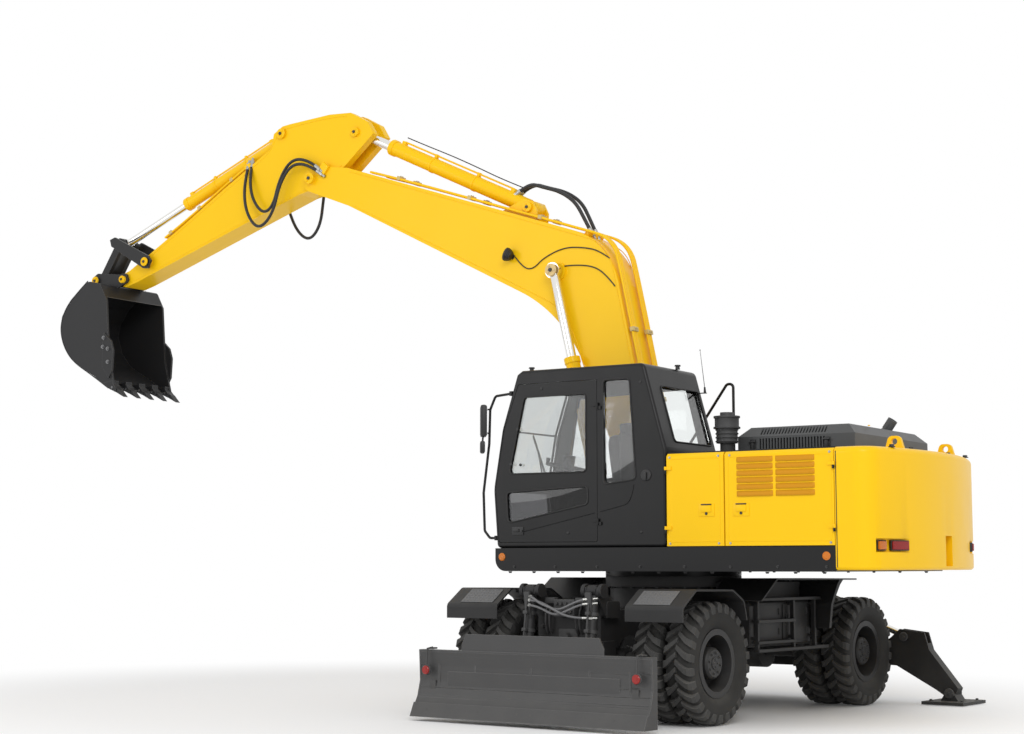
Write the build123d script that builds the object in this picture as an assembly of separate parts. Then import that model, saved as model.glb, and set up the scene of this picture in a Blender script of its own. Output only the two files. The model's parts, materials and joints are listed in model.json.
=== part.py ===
from build123d import *
from math import atan2, cos, degrees, hypot, radians, sin
import os

os.makedirs("parts", exist_ok=True)

# A wheeled excavator with a side-mounted cab, a front dozer blade and rear outriggers.
# Millimetres. The upper frame has its origin on the ground under the swing axis, +X
# towards the bucket, +Y to the left, +Z up. The undercarriage has the same origin and
# is turned about it by heading, with its own +X towards the blade.

# Where the two frames stand in the part's own frame
swing_x, swing_y = -2706.0, 70.5
heading = 86.0

# Fits
pin_fit = 0.05
seat_gap = 0.3
side_gap = 5.0

# Undercarriage
ground_gap = 8.0
front_axle_x = 1245.0
rear_axle_x = -1555.0
axle_z = 522.0
frame_half = 330.0
frame_low, frame_top = 640.0, 960.0
frame_front, frame_rear = 1700.0, -2290.0
tower_r = 600.0
tower_top = 1150.0
slew_r, slew_bore_r = 640.0, 520.0
slew_top = 1250.0

# Cross head over the front of the frame, which carries the blade cylinders
head_x0, head_x1 = 1500.0, 1700.0
head_half = 400.0
head_low, head_top = 900.0, 1040.0

# Wheels
tyre_r = 522.0
tyre_width = 275.0
outer_tyre_y = 1112.0
dual_spacing = 310.0
rim_r = 262.0
rim_wall = 22.0
flange_r = 290.0
flange_thick = 10.0
rim_width = 200.0
hub_r = 133.0
hub_end_y = 1190.0
drum_r = 185.0
drum_y = 760.0
spindle_r = 60.0
spindle_end_y = 895.0

# Steering
kingpin_y = 600.0
kingpin_r = 28.0
boss_r = 65.0
boss_half = 90.0
yoke_plate = 30.0
yoke_r = 75.0
tie_arm = 200.0
tie_pin_r = 14.0
tie_eye_r = 34.0
axle_tube_r = 75.0
diff_r = 190.0

# Blade
blade_half = 1220.0
blade_low = 38.0
blade_plate = 20.0
# front face from its top lip down to the cutting edge, as (x, z)
blade_face = [(2270.0, 612.0), (2256.0, 470.0), (2254.0, 345.0), (2265.0, 290.0), (2290.0, 215.0),
              (2335.0, 125.0), (2383.0, blade_low)]
blade_back_x = 2194.0
splash_half, splash_top, splash_corner = 745.0, 755.0, 90.0
blade_pivot = (1600.0, 430.0)
blade_arm_y = 330.0
arm_plate = 20.0
eye_half = 30.0
barrel_eye_half = 45.0
blade_pin_r = 30.0
blade_eye_r = 52.0
blade_cyl_top = (1790.0, 1130.0)
blade_cyl_low = (1880.0, 440.0)
blade_barrel_r = 45.0
blade_rod_r = 28.0
blade_rod_shown = 196.0
boss_disc_r, boss_disc_reach = 60.0, 104.0

# Outriggers
leg_x = -2200.0
leg_half = 60.0
leg_pivot = (1080.0, 450.0)
leg_ankle = (1810.0, 140.0)
leg_lug = (1340.0, 645.0)
leg_cyl_top = (400.0, 1010.0)
leg_pin_r = 32.0
leg_barrel_r = 62.0
leg_rod_r = 34.0
leg_rod_shown = 448.0
pad_size = (540.0, 430.0, 30.0)

# Boxes and steps between the wheels of each side
box_front, box_rear = 430.0, -700.0
box_out, box_low, box_top = 1060.0, 620.0, 1030.0
inner_box_out, inner_box_top = 960.0, 1195.0
step_in, step_out = 1080.0, 1140.0

# Superstructure
house_half = 1250.0
house_front = 1190.0
deck_low, deck_top = 1295.0, 1505.0
body_top = 2330.0
cab_rear_x = -600.0
weight_x = -2182.0
tail_x = -2700.0
weight_corner_x = -2486.0
weight_low, weight_high = 1307.0, 2327.0
weight_corner_r = 200.0
weight_edge_r = 55.0
recess_low, recess_high = 1455.0, 1567.0
channel_floor = 1360.0
door_thick = 35.0

# Cab
cab_in, cab_out = 212.0, house_half - 30.0
cab_wall = 45.0
cab_low = deck_top + seat_gap
cab_back, cab_back_top = -590.0, -373.0
cab_back_z = 2359.0
cab_nose, cab_nose_z = 1238.0, 2053.0
cab_brow, cab_brow_z = 1142.0, 2606.0
cab_roof = 3145.0
cab_corner_r = 45.0
pane_r = 45.0
seat_y = cab_out - 505.0

# Hood over the engine
hood_front, hood_rear = -969.0, -2085.0
hood_left, hood_right = 560.0, -1200.0
hood_side_top, hood_top = 2490.0, 2577.0
hood_slope = 90.0
hood_wall = 25.0
vent_x, vent_count, vent_pitch, vent_width = -1805.0, 22, 29.0, 15.0

# Hinges of doors and hood: (x, y, z), the doors' axes upright
hinge_r = 11.0
hinge_out = 12.0
hinge_half = 15.0
hinge_leaf = 1.8
door_hinge_heights = (1640.0, 2160.0)
cab_hinge_heights = (1720.0, 2760.0)
left_front_hinge = (cab_rear_x - 6.0, house_half + hinge_out, 1900.0)
left_rear_hinge = (weight_x + 3.0, house_half + hinge_out, 1900.0)
right_door_hinge = (cab_rear_x - 6.0, -house_half - hinge_out, 1900.0)
cab_door_hinge = (98.0, cab_out + 14.0, 2265.0)
hood_hinge = (-955.0, 0.0, 2348.0)

precleaner = (-930.0, 700.0)

# Lifting eyes on the counterweight
lifting_eye = (-2470.0, 2392.0)
eye_y = 620.0
eye_bore_r = 28.0
eye_thick = 40.0

# Working equipment, in the upper frame
boom_y = -170.0
boom_foot = (230.0, 1880.0)
boom_len = 5637.0
boom_rest = 41.32
boom_half = 200.0
foot_pin_r = 55.0
arm_len = 3010.0
arm_rest = -16.86
arm_half = 155.0
arm_pin_r = 50.0
arm_tip_r = 85.0
bucket_rest = -16.86
bucket_half = 475.0
bucket_pin_r = 42.0
bucket_wall = 25.0
rocker_in, rocker_out = arm_half + 52.0, arm_half + 80.0
tooth_count, tooth_pitch = 5, 215.0

# Cylinder pins: in the boom's, arm's and bucket's own axes, origin at the hinge that
# carries them, x along the line of pins
boom_cyl_base = (620.0, 1580.0)
boom_cyl_head = (2350.0, 1117.0)
boom_knee_top, boom_head_top = (2068.0, 1711.0), (boom_len - 337.0, 380.0)
arm_cyl_x, arm_cyl_rise = boom_len - 2511.0, 110.0
top_slope = (boom_head_top[1] - boom_knee_top[1]) / (boom_head_top[0] - boom_knee_top[0])
arm_cyl_base = (arm_cyl_x, boom_knee_top[1] + top_slope * (arm_cyl_x - boom_knee_top[0]) + arm_cyl_rise)
arm_cyl_head = (-686.0, 272.0)
bucket_cyl_base = (287.0, 694.0)
rocker_pin = (arm_len - 424.0, 51.0)
link_pin = (arm_len + 11.0, 488.0)
bucket_link_pin = (425.0, 150.0)

boom_cyl_offset = 285.0
boom_barrel_r, boom_rod_r = 72.0, 48.0
arm_barrel_r, arm_rod_r = 80.0, 52.0
bucket_barrel_r, bucket_rod_r = 70.0, 45.0
# length of each rod out of its barrel at rest
boom_rod_shown, arm_rod_shown, bucket_rod_shown = 915.0, 437.0, 1052.0


# ---- Small shapes -------------------------------------------------------------------

def block(x0, x1, y0, y1, z0, z1):
    return Pos((x0 + x1) / 2, (y0 + y1) / 2, (z0 + z1) / 2) * Box(abs(x1 - x0), abs(y1 - y0), abs(z1 - z0))


def prism_y(points, y0, y1, radii=None):
    corners = [(x, y0, z) for x, z in points]
    outline = FilletPolyline(*corners, radius=radii, close=True) if radii else Polyline(*corners, close=True)
    return extrude(make_face(outline), y1 - y0, dir=(0, 1, 0))


def prism_x(points, x0, x1, radii=None):
    corners = [(x0, y, z) for y, z in points]
    outline = FilletPolyline(*corners, radius=radii, close=True) if radii else Polyline(*corners, close=True)
    return extrude(make_face(outline), x1 - x0, dir=(1, 0, 0))


def prism_z(points, z0, z1, radii=None):
    corners = [(x, y, z0) for x, y in points]
    outline = FilletPolyline(*corners, radius=radii, close=True) if radii else Polyline(*corners, close=True)
    return extrude(make_face(outline), z1 - z0, dir=(0, 0, 1))


def shaft(start, end, r):
    start, end = Vector(*start), Vector(*end)
    length = (end - start).length
    return Plane(origin=start, z_dir=end - start) * Cylinder(r, length, align=(Align.CENTER, Align.CENTER, Align.MIN))


def pin_y(point, y0, y1, r):
    return shaft((point[0], y0, point[1]), (point[0], y1, point[1]), r)


def pin_x(point, x0, x1, r):
    return shaft((x0, point[0], point[1]), (x1, point[0], point[1]), r)


def mirror_y(shape):
    return mirror(shape, about=Plane.XZ)


def group(*shapes):
    """Separate solids that share a node."""
    return Compound([solid for shape in shapes for solid in shape.solids()])


def both_sides(shape):
    return group(shape, mirror_y(shape))


def turned(shape, origin, angle, y=0.0):
    """Local working axes to the upper frame: x along angle, about the Y axis."""
    return Pos(origin[0], y, origin[1]) * Rot(0, -angle, 0) * shape


def moved_point(origin, angle, local):
    a = radians(angle)
    return (origin[0] + local[0] * cos(a) - local[1] * sin(a), origin[1] + local[0] * sin(a) + local[1] * cos(a))


def heading_of(start, end):
    return degrees(atan2(end[1] - start[1], end[0] - start[0]))


def upper(shape):
    return Pos(swing_x, swing_y, 0) * shape


def under(shape):
    return Pos(swing_x, swing_y, 0) * Rot(0, 0, heading) * shape


# Pins of the working equipment at rest, as (x, z) in the upper frame
boom_head = moved_point(boom_foot, boom_rest, (boom_len, 0))
arm_head = moved_point(boom_head, arm_rest, (arm_len, 0))
boom_cyl_end = moved_point(boom_foot, boom_rest, boom_cyl_head)
arm_cyl_start = moved_point(boom_foot, boom_rest, arm_cyl_base)
arm_cyl_end = moved_point(boom_head, arm_rest, arm_cyl_head)
bucket_cyl_start = moved_point(boom_head, arm_rest, bucket_cyl_base)
rocker_pivot = moved_point(boom_head, arm_rest, rocker_pin)
link_joint = moved_point(boom_head, arm_rest, link_pin)
bucket_link_joint = moved_point(arm_head, bucket_rest, bucket_link_pin)


# ---- Undercarriage ------------------------------------------------------------------

def chassis_frame():
    beam = block(-2080, frame_front, -frame_half, frame_half, frame_low, frame_top)
    for x in (front_axle_x, rear_axle_x):
        beam -= pin_y((x, axle_z), -frame_half, frame_half, diff_r + 25)
    beam += Pos(0, 0, (frame_top - 80 + tower_top) / 2) * Cylinder(tower_r, tower_top - frame_top + 80)
    # rear cross beam that carries the outriggers
    ear = leg_half + side_gap
    beam += block(frame_rear + 40, -2080, -frame_half, frame_half, frame_low - 60, frame_top)
    beam += block(leg_x - ear - 25, leg_x + ear + 25, -900, 900, 330, 640)
    for side in (1, -1):
        for x0 in (leg_x - ear - 25, leg_x + ear):
            cheek = prism_x([(880, 330), (1090, 350), (1170, 450), (1090, 560), (880, 640)], x0, x0 + 25)
            beam += cheek if side > 0 else mirror_y(cheek)
            lug = prism_x([(300, 900), (420, 940), (460, 1010), (420, 1070), (300, 1070)], x0, x0 + 25)
            beam += lug if side > 0 else mirror_y(lug)
        pivot = (side * leg_pivot[0], leg_pivot[1])
        beam += pin_x(pivot, leg_x - ear - 40, leg_x + ear + 40, leg_pin_r)
        top = (side * leg_cyl_top[0], leg_cyl_top[1])
        beam += pin_x(top, leg_x - ear - 40, leg_x + ear + 40, leg_pin_r)
    # front hangers for the blade arms and brackets for the blade cylinders
    for side in (1, -1):
        y = side * blade_arm_y
        hanger = prism_y([(1500, 700), (1540, 400), (1600, 360), (1660, 400), (1700, 700)],
                         y - eye_half, y + eye_half)
        beam += hanger - pin_y(blade_pivot, y - 50, y + 50, blade_pin_r + pin_fit)
        for offset in (-barrel_eye_half - side_gap - 15, barrel_eye_half + side_gap):
            beam += prism_y([(1560, 900), (1700, 900), (1840, 1100), (1840, 1160), (1760, 1180), (1560, 1000)],
                            y + offset, y + offset + 15)
        beam += pin_y(blade_cyl_top, y - boss_disc_reach, y + boss_disc_reach, blade_pin_r)
        for reach in (-boss_disc_reach, boss_disc_reach - 35):
            beam += pin_y(blade_cyl_top, y + reach, y + reach + 35, boss_disc_r)
    head = block(head_x0, head_x1, -head_half, head_half, head_low, head_top)
    head = fillet(head.edges().filter_by(Axis.Y), 30)
    return beam + head


def slew_ring():
    ring = Cylinder(slew_r, slew_top - tower_top) - Cylinder(slew_bore_r, slew_top)
    return Pos(0, 0, (slew_top + tower_top) / 2) * ring


def axle_housing(x, end_y):
    housing = pin_y((x, axle_z), -end_y, end_y, axle_tube_r)
    housing += pin_y((x, axle_z), -120, 120, diff_r)
    for side in (1, -1):
        y0, y1 = sorted((side * 200, side * frame_half))
        saddle = block(x - 90, x + 90, y0, y1, axle_z + 40, frame_top)
        housing += saddle & pin_y((x, axle_z), y0, y1, diff_r + 25 - seat_gap)
    return housing


def front_axle():
    housing = axle_housing(front_axle_x, kingpin_y)
    for side in (1, -1):
        y = side * kingpin_y
        housing += shaft((front_axle_x, y, axle_z - boss_half), (front_axle_x, y, axle_z + boss_half), boss_r)
        housing -= shaft((front_axle_x, y, axle_z - boss_half), (front_axle_x, y, axle_z + boss_half),
                         kingpin_r + pin_fit)
    return housing


def rear_axle():
    housing = axle_housing(rear_axle_x, drum_y - side_gap)
    for side in (1, -1):
        housing += pin_y((rear_axle_x, axle_z), side * 600, side * spindle_end_y, spindle_r)
    return housing


def drive_line():
    gearbox = block(-250, 250, -160, 160, frame_low - 180, frame_low)
    line = gearbox
    for start, end in ((250, front_axle_x - diff_r - 4), (-250, rear_axle_x + diff_r + 4)):
        line += shaft((start, 0, frame_low - 100), (end, 0, axle_z), 45)
    return line


def front_fender():
    """Left fender, carried on the knuckle's top plate so that it turns with its wheel."""
    top = [(1850, 877), (1850, 1000), (1630, 1147), (1027, 1141), (839, 1046), (791, 879),
           (806, 875), (852, 1036), (1035, 1126), (1625, 1132), (1835, 992), (1835, 877)]
    panel = prism_y(top, 680, house_half, [3, 50, 60, 60, 80, 3, 3, 70, 50, 50, 40, 3])
    post_y = kingpin_y + 12
    plate_top = axle_z + boss_half + side_gap + yoke_plate
    stay = block(front_axle_x - 35, front_axle_x + 35, post_y, post_y + 38, plate_top, 1124)
    stay += block(front_axle_x - 35, front_axle_x + 35, post_y, 900, 1098, 1124)
    return panel + stay + block(front_axle_x - 35, front_axle_x + 35, 700, 900, 1120, 1136)


def rear_fenders():
    top = [(540, 1040), (250, 1232), (-1305, 1224), (-1305, 1210), (245, 1217), (525, 1032)]
    panel = prism_y(top, 700, house_half)
    panel += prism_y([(-725, 764), (-775, 988), (-900, 1164), (-965, 1224), (-1040, 1224), (-960, 1166),
                      (-815, 995), (-765, 766)], 700, house_half, [3, 120, 60, 3, 3, 60, 120, 3])
    for x in (100, -600):
        panel += block(x - 30, x + 30, 720, inner_box_out - 40, inner_box_top + seat_gap, 1222)
    return both_sides(panel)


def side_boxes():
    """Tool and battery boxes on both sides of the frame, with the shelf that the fenders stand on."""
    lower = block(box_rear, box_front, frame_half, box_out, box_low, box_top)
    lower = chamfer(lower.edges().filter_by(Axis.X).group_by(Axis.Y)[-1], 20)
    inner = block(box_rear, 230, frame_half, inner_box_out, box_top, inner_box_top)
    boxes = lower + inner
    boxes -= shaft((0, 0, box_low - 1), (0, 0, inner_box_top + 1), slew_r + side_gap)
    for x in (-640, -280, 80):
        boxes -= block(x - 4, x + 4, box_out - 6, box_out + 1, box_low + 40, box_top - 40)
    return both_sides(boxes)


def side_steps():
    step = block(-930, 400, step_in, step_out, 575, 605)
    step += block(-290, 400, step_in, step_out, 650, 675)
    step += block(-290, 400, step_in, step_out, 835, 865)
    step += block(-790, 400, step_in, step_out, 1030, 1060)
    for x in (-685, -275, 385):
        step += block(x - 15, x + 15, step_in + 10, step_out - 10, 575, 1060)
        for z in (700, 1000):
            step += block(x - 15, x + 15, box_out, step_in + 10, z - 15, z + 15)
    return both_sides(step)


def knuckle():
    """Left steering knuckle about its kingpin, with the spindle that carries the wheel."""
    x, y, z = front_axle_x, kingpin_y, axle_z
    wall_in, wall_out = y + 90, y + 115
    low, high = boss_half + side_gap, boss_half + side_gap + yoke_plate
    body = block(x - 90, x + 90, wall_in, wall_out, z - high, z + high)
    for sign in (1, -1):
        z0, z1 = sorted((z + sign * low, z + sign * high))
        plate = shaft((x, y, z0), (x, y, z1), yoke_r) + block(x - yoke_r, x + yoke_r, y, wall_in, z0, z1)
        if sign < 0:
            plate += block(x - tie_arm, x, y - tie_eye_r, y + tie_eye_r, z0, z1)
            plate += shaft((x - tie_arm, y, z0), (x - tie_arm, y, z1), tie_eye_r)
        body += plate
        body += shaft((x, y, z + sign * 20), (x, y, z + sign * high), kingpin_r)
    body += pin_y((x, z), wall_out, drum_y - side_gap, 100)
    body += pin_y((x, z), wall_out, spindle_end_y, spindle_r)
    body += shaft((x - tie_arm, y, z - high), (x - tie_arm, y, z - high - 50), tie_pin_r)
    return body


def tie_rod():
    x, y = front_axle_x - tie_arm, kingpin_y
    top = axle_z - boss_half - side_gap - yoke_plate - side_gap
    z = top - 20
    rod = pin_y((x, z), -y, y, 18)
    for side in (1, -1):
        rod += shaft((x, side * y, top - 40), (x, side * y, top), tie_eye_r)
        rod -= shaft((x, side * y, top - 40), (x, side * y, top), tie_pin_r + pin_fit)
    return rod


def revolved_y(profile):
    """Turn a closed profile of (y, r) points about the Y axis."""
    face = make_face(Polyline(*[(0, y, r) for y, r in profile], close=True))
    return revolve(face, Axis.Y, 360)


def tyre(yc):
    half = tyre_width / 2
    bead = rim_width / 2 - flange_thick - seat_gap
    r0 = rim_r + seat_gap
    profile = [(yc - bead, r0), (yc - bead, flange_r + 5), (yc - half, 400), (yc - half + 12, 480),
               (yc - half + 35, tyre_r), (yc + half - 35, tyre_r), (yc + half - 12, 480), (yc + half, 400),
               (yc + bead, flange_r + 5), (yc + bead, r0)]
    return revolved_y(profile)


def tyres():
    return group(tyre(outer_tyre_y), tyre(outer_tyre_y - dual_spacing))


def rims():
    mid = outer_tyre_y - dual_spacing / 2
    half = rim_width / 2
    inner_r = rim_r - rim_wall
    solid = revolved_y([(drum_y, 0), (drum_y, drum_r), (mid - 25, drum_r), (mid - 20, 205), (mid + 20, 205),
                        (mid + 25, hub_r + 25), (hub_end_y - 120, hub_r + 10), (hub_end_y - 20, hub_r),
                        (hub_end_y, hub_r - 18), (hub_end_y, 0)])
    for yc, sign in ((outer_tyre_y, 1), (outer_tyre_y - dual_spacing, -1)):
        edge = yc - sign * half
        solid += revolved_y([(yc - half, inner_r), (yc - half, flange_r), (yc - half + flange_thick, flange_r),
                             (yc - half + flange_thick, rim_r), (yc + half - flange_thick, rim_r),
                             (yc + half - flange_thick, flange_r), (yc + half, flange_r), (yc + half, inner_r)])
        solid += revolved_y([(edge, inner_r + 5), (edge + sign * 30, inner_r + 5), (mid + sign * 14, 195),
                             (mid + sign * 14, 150), (mid, 150), (mid, 205)])
    bore = pin_y((0, 0), drum_y - 1, spindle_end_y + side_gap, spindle_r + pin_fit)
    return solid - bore


def wheel_places():
    """Name, axle x and side of each twin wheel."""
    return [("front_left", front_axle_x, 1), ("front_right", front_axle_x, -1),
            ("rear_left", rear_axle_x, 1), ("rear_right", rear_axle_x, -1)]


def at_wheel(shape, x, side):
    shape = shape if side > 0 else mirror_y(shape)
    return Pos(x, 0, axle_z) * shape


def dozer_blade():
    # bowed front plate, its top lip, the splash plate above it and the cutting edge
    back = [(x - blade_plate, z) for x, z in reversed(blade_face)]
    top_x, top_z = blade_face[0]
    edge_x, _ = blade_face[-1]
    radii = [2, 300, 200, 120, 200, 300, 2]
    blade = prism_y(blade_face + back, -blade_half, blade_half, radii + radii[::-1])
    blade += block(blade_back_x, top_x, -blade_half, blade_half, top_z - 18, top_z)
    splash = prism_x([(-splash_half, top_z - 30), (splash_half, top_z - 30), (splash_half, splash_top - splash_corner),
                      (splash_half - splash_corner / 2, splash_top), (splash_corner / 2 - splash_half, splash_top),
                      (-splash_half, splash_top - splash_corner)], top_x - 24, top_x - 8)
    blade += splash
    blade += prism_y([(edge_x + 12, blade_low), (edge_x - 42, blade_low + 120), (edge_x - 60, blade_low + 116),
                      (edge_x - 10, blade_low)], -blade_half, blade_half)
    blade += block(2130, 2262, -900, 900, 300, 430)
    for y in (-1000, -600, 0, 600, 1000):
        blade += prism_y([(top_x - 14, top_z), (top_x - 8, 300), (2325, 100), (2250, 100), (2150, 300), (2194, top_z)],
                         y - 8, y + 8)
    for side in (1, -1):
        y0, y1 = sorted((side * (blade_half - 15), side * blade_half))
        blade += prism_y([(top_x, top_z), (2256, 345), (2290, 215), (edge_x, blade_low), (blade_back_x, blade_low),
                          (blade_back_x, top_z)], y0, y1)
        arm_out = eye_half + side_gap + arm_plate
        for offset in (-arm_out, eye_half + side_gap):
            y = side * blade_arm_y + offset
            blade += prism_y([(1560, 395), (1600, 375), (1700, 375), (2240, 190), (2240, 440), (1990, 470),
                              (1880, 500), (1820, 470), (1600, 485), (1560, 465)], y, y + arm_plate)
        y = side * blade_arm_y
        blade += pin_y(blade_pivot, y - arm_out, y + arm_out, blade_pin_r)
        for cap in (-arm_out - 12, arm_out):
            blade += pin_y(blade_cyl_low, y + cap, y + cap + 12, blade_pin_r)
    return blade


def cylinder_barrel(length, r, eye_r, pin_r, half):
    """Barrel along +Z from its eye at the origin, its pin along Y."""
    barrel = shaft((0, 0, eye_r - 8), (0, 0, length), r)
    eye = pin_y((0, 0), -half, half, eye_r)
    barrel += eye
    barrel -= pin_y((0, 0), -half - 1, half + 1, pin_r + pin_fit)
    barrel += shaft((0, 0, length - 60), (0, 0, length), r + 8)
    return barrel


def cylinder_rod(length, r, eye_r, half, inside):
    """Rod along -Z from its eye at the origin; inside is the length hidden in the barrel."""
    rod = shaft((0, 0, -length - inside), (0, 0, 0), r)
    return rod + pin_y((0, 0), -half, half, eye_r)


def bored_barrel(length, r, eye_r, pin_r, half, rod_r, depth):
    barrel = cylinder_barrel(length, r, eye_r, pin_r, half)
    return barrel - shaft((0, 0, length - depth), (0, 0, length + 1), rod_r + pin_fit)


def cylinder_xz(start, end, y, r, rod_r, eye_r, pin_r, half, rod_half, shown, inside):
    """Barrel and rod between two pins (x, z) with both pins along Y; shown is the rod's length out of the barrel."""
    lean = 90 - heading_of(start, end)
    barrel_len = hypot(end[0] - start[0], end[1] - start[1]) - shown
    barrel = bored_barrel(barrel_len, r, eye_r, pin_r, half, rod_r, barrel_len - eye_r - 40)
    rod = cylinder_rod(shown, rod_r, eye_r, rod_half, inside)
    barrel = Pos(start[0], y, start[1]) * Rot(0, lean, 0) * barrel
    rod = Pos(end[0], y, end[1]) * Rot(0, lean, 0) * rod
    return barrel, rod


def blade_cylinders():
    barrels, rods = [], []
    for side in (1, -1):
        barrel, rod = cylinder_xz(blade_cyl_top, blade_cyl_low, side * blade_arm_y, blade_barrel_r, blade_rod_r,
                                  blade_eye_r, blade_pin_r, barrel_eye_half, eye_half, blade_rod_shown, 200)
        barrels.append(barrel)
        rods.append(rod)
    return group(*barrels), group(*rods)


def outrigger():
    """Left leg with its pad; the pivot is bored for the chassis pin."""
    low = prism_x([(1040, 380), (1130, 365), (1250, 360), (1660, 140), (1740, 90), (1860, 90), (1890, 160),
                   (1600, 520), (1550, 690), (1290, 720), (1200, 640), (1060, 540), (1000, 470)],
                  leg_x - leg_half, leg_x + leg_half)
    slot = prism_x([(1100, 560), (1440, 560), (1640, 600), (1640, 760), (1100, 760)],
                   leg_x - leg_barrel_r, leg_x + leg_barrel_r)
    slot = slot & block(leg_x - 38, leg_x + 38, 1100, 1640, 500, 800)
    leg = low - slot
    leg -= pin_x(leg_pivot, leg_x - leg_half - 1, leg_x + leg_half + 1, leg_pin_r + pin_fit)
    sx, sy, sz = pad_size
    pad = block(leg_x - 10 - sx / 2, leg_x - 10 + sx / 2, leg_ankle[0] - sy / 2, leg_ankle[0] + sy / 2,
                ground_gap, ground_gap + sz)
    pad += prism_x([(1700, ground_gap), (1920, ground_gap), (1850, 120), (1770, 120)], leg_x - 90, leg_x + 90)
    for cap in (-leg_half - 12, leg_half):
        leg += pin_x(leg_lug, leg_x + cap, leg_x + cap + 12, leg_pin_r)
    return leg + pad


def outrigger_cylinder():
    start, end = leg_cyl_top, leg_lug
    span = hypot(end[0] - start[0], end[1] - start[1])
    tilt = degrees(atan2(end[1] - start[1], end[0] - start[0])) - 90
    barrel = Rot(0, 0, 90) * bored_barrel(span - leg_rod_shown, leg_barrel_r, 56, leg_pin_r, 25, leg_rod_r, 480)
    rod = Rot(0, 0, 90) * cylinder_rod(leg_rod_shown, leg_rod_r, 50, 25, 85)
    barrel = Pos(leg_x, start[0], start[1]) * Rot(tilt, 0, 0) * barrel
    rod = Pos(leg_x, end[0], end[1]) * Rot(tilt, 0, 0) * rod
    return barrel, rod


# ---- Superstructure -----------------------------------------------------------------

def tower_plate(y0, y1):
    px, pz = boom_cyl_base
    points = [(-60, channel_floor), (px + 50, channel_floor), (px + 50, pz - 60), (px + 58, pz), (px, pz + 58),
              (px - 50, pz + 50),
              (480, 1660), (380, 1960), (300, 2030), (160, 2030), (80, 1960)]
    return prism_y(points, y0, y1)


def house_deck():
    deck = block(weight_x + seat_gap, house_front, -house_half, house_half, deck_low, deck_top)
    front_edges = deck.edges().filter_by(Axis.Y).sort_by(Axis.X)[-2:]
    deck = fillet([edge for edge in front_edges if edge.center().Z < deck_low + 1], 110)
    deck -= block(-60, house_front + 1, boom_y - 390, boom_y + 372, channel_floor, deck_top + 1)
    for side in (1, -1):
        y0 = boom_y + side * (boom_half + 10)
        y1 = y0 + side * 30
        deck += tower_plate(*sorted((y0, y1)))
        lug_in = boom_y + side * (boom_cyl_offset + 35)
        lug_out = lug_in + side * 25
        y0, y1 = sorted((lug_in, lug_out))
        px, pz = boom_cyl_base
        deck += prism_y([(px - 100, channel_floor), (px + 50, channel_floor), (px + 50, pz - 60), (px + 58, pz),
                         (px, pz + 58), (px - 58, pz)], y0, y1)
        y0, y1 = sorted((boom_y + side * (boom_half + 10), boom_y + side * (boom_cyl_offset + 60)))
        deck += pin_y(boom_cyl_base, y0, y1, 45)
    deck += pin_y(boom_foot, boom_y - boom_half - 60, boom_y + boom_half + 60, foot_pin_r)
    deck += Pos(0, 0, (slew_top + 0.5 + deck_low) / 2) * (
        Cylinder(slew_r, deck_low - slew_top - 0.5) - Cylinder(slew_bore_r, 100))
    return deck


def counterweight():
    line = Polyline((weight_corner_x, house_half), (weight_x, house_half), (weight_x, -house_half),
                    (weight_corner_x, -house_half))
    tail = ThreePointArc((weight_corner_x, -house_half), (tail_x, 0), (weight_corner_x, house_half))
    weight = extrude(make_face([line, tail]), weight_high - weight_low)
    weight = Pos(0, 0, weight_low) * weight
    corners = weight.edges().filter_by(Axis.Z).sort_by(Axis.X)[:2]
    weight = fillet(corners, weight_corner_r)
    for z in (weight_high, weight_low):
        rim = weight.faces().sort_by(lambda face: abs(face.center().Z - z))[0].edges()
        weight = fillet([edge for edge in rim if edge.center().X < weight_x - 1], weight_edge_r if z > 2000 else 30)
    # hitch pocket with its pin, and the lamps' recesses at the corners
    weight -= block(tail_x - 10, tail_x + 130, -80, 80, 1340, 1600)
    weight += shaft((tail_x + 60, 0, 1320), (tail_x + 60, 0, 1620), 24)
    for side in (1, -1):
        y0, y1 = side * eye_y - eye_thick / 2, side * eye_y + eye_thick / 2
        x, z = lifting_eye
        lug = prism_y([(x - 85, 2320), (x + 85, 2320), (x + 50, z + 48), (x - 50, z + 48)], y0, y1, [3, 3, 45, 45])
        weight += lug - pin_y(lifting_eye, y0 - 1, y1 + 1, eye_bore_r)
        pocket = prism_z([(-2700, 1170), (-2500, 1170), (-2465, 1130), (-2500, 990), (-2640, 710), (-2740, 700)],
                         recess_low, recess_high)
        weight -= pocket if side > 0 else mirror_y(pocket)
    return weight


def side_frame():
    """Left frame that the two side doors close; the right one mirrors it."""
    y0, y1 = house_half - 100, house_half - door_thick - 5
    frame = block(weight_x + seat_gap, cab_rear_x - 5, y0, y1, deck_top, body_top - 6)
    frame -= block(-1140, cab_rear_x - 60, y0 - 1, y1 + 1, deck_top + 45, body_top - 50)
    frame -= block(weight_x + 50, -1200, y0 - 1, y1 + 1, deck_top + 45, body_top - 50)
    return frame


def hinge(place, towards, heights, surface):
    """Knuckles of an upright hinge: the door's half and the body's half. towards is +1 where the
    door lies on the +X side of the axis; surface is the y of the face that the leaves lie on."""
    x, y, _ = place
    door, body = [], []
    for z in heights:
        door.append(shaft((x, y, z + hinge_half + seat_gap), (x, y, z + 3 * hinge_half), hinge_r))
        x0, x1 = sorted((x, x + towards * 55))
        y0, y1 = sorted((surface, y))
        door.append(block(x0, x1, y0, y1, z + hinge_half + seat_gap, z + 3 * hinge_half))
        body.append(shaft((x, y, z - hinge_half), (x, y, z + hinge_half), hinge_r))
    return door, body


def fused(shape, extras):
    for extra in extras:
        shape += extra
    return shape


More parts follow.
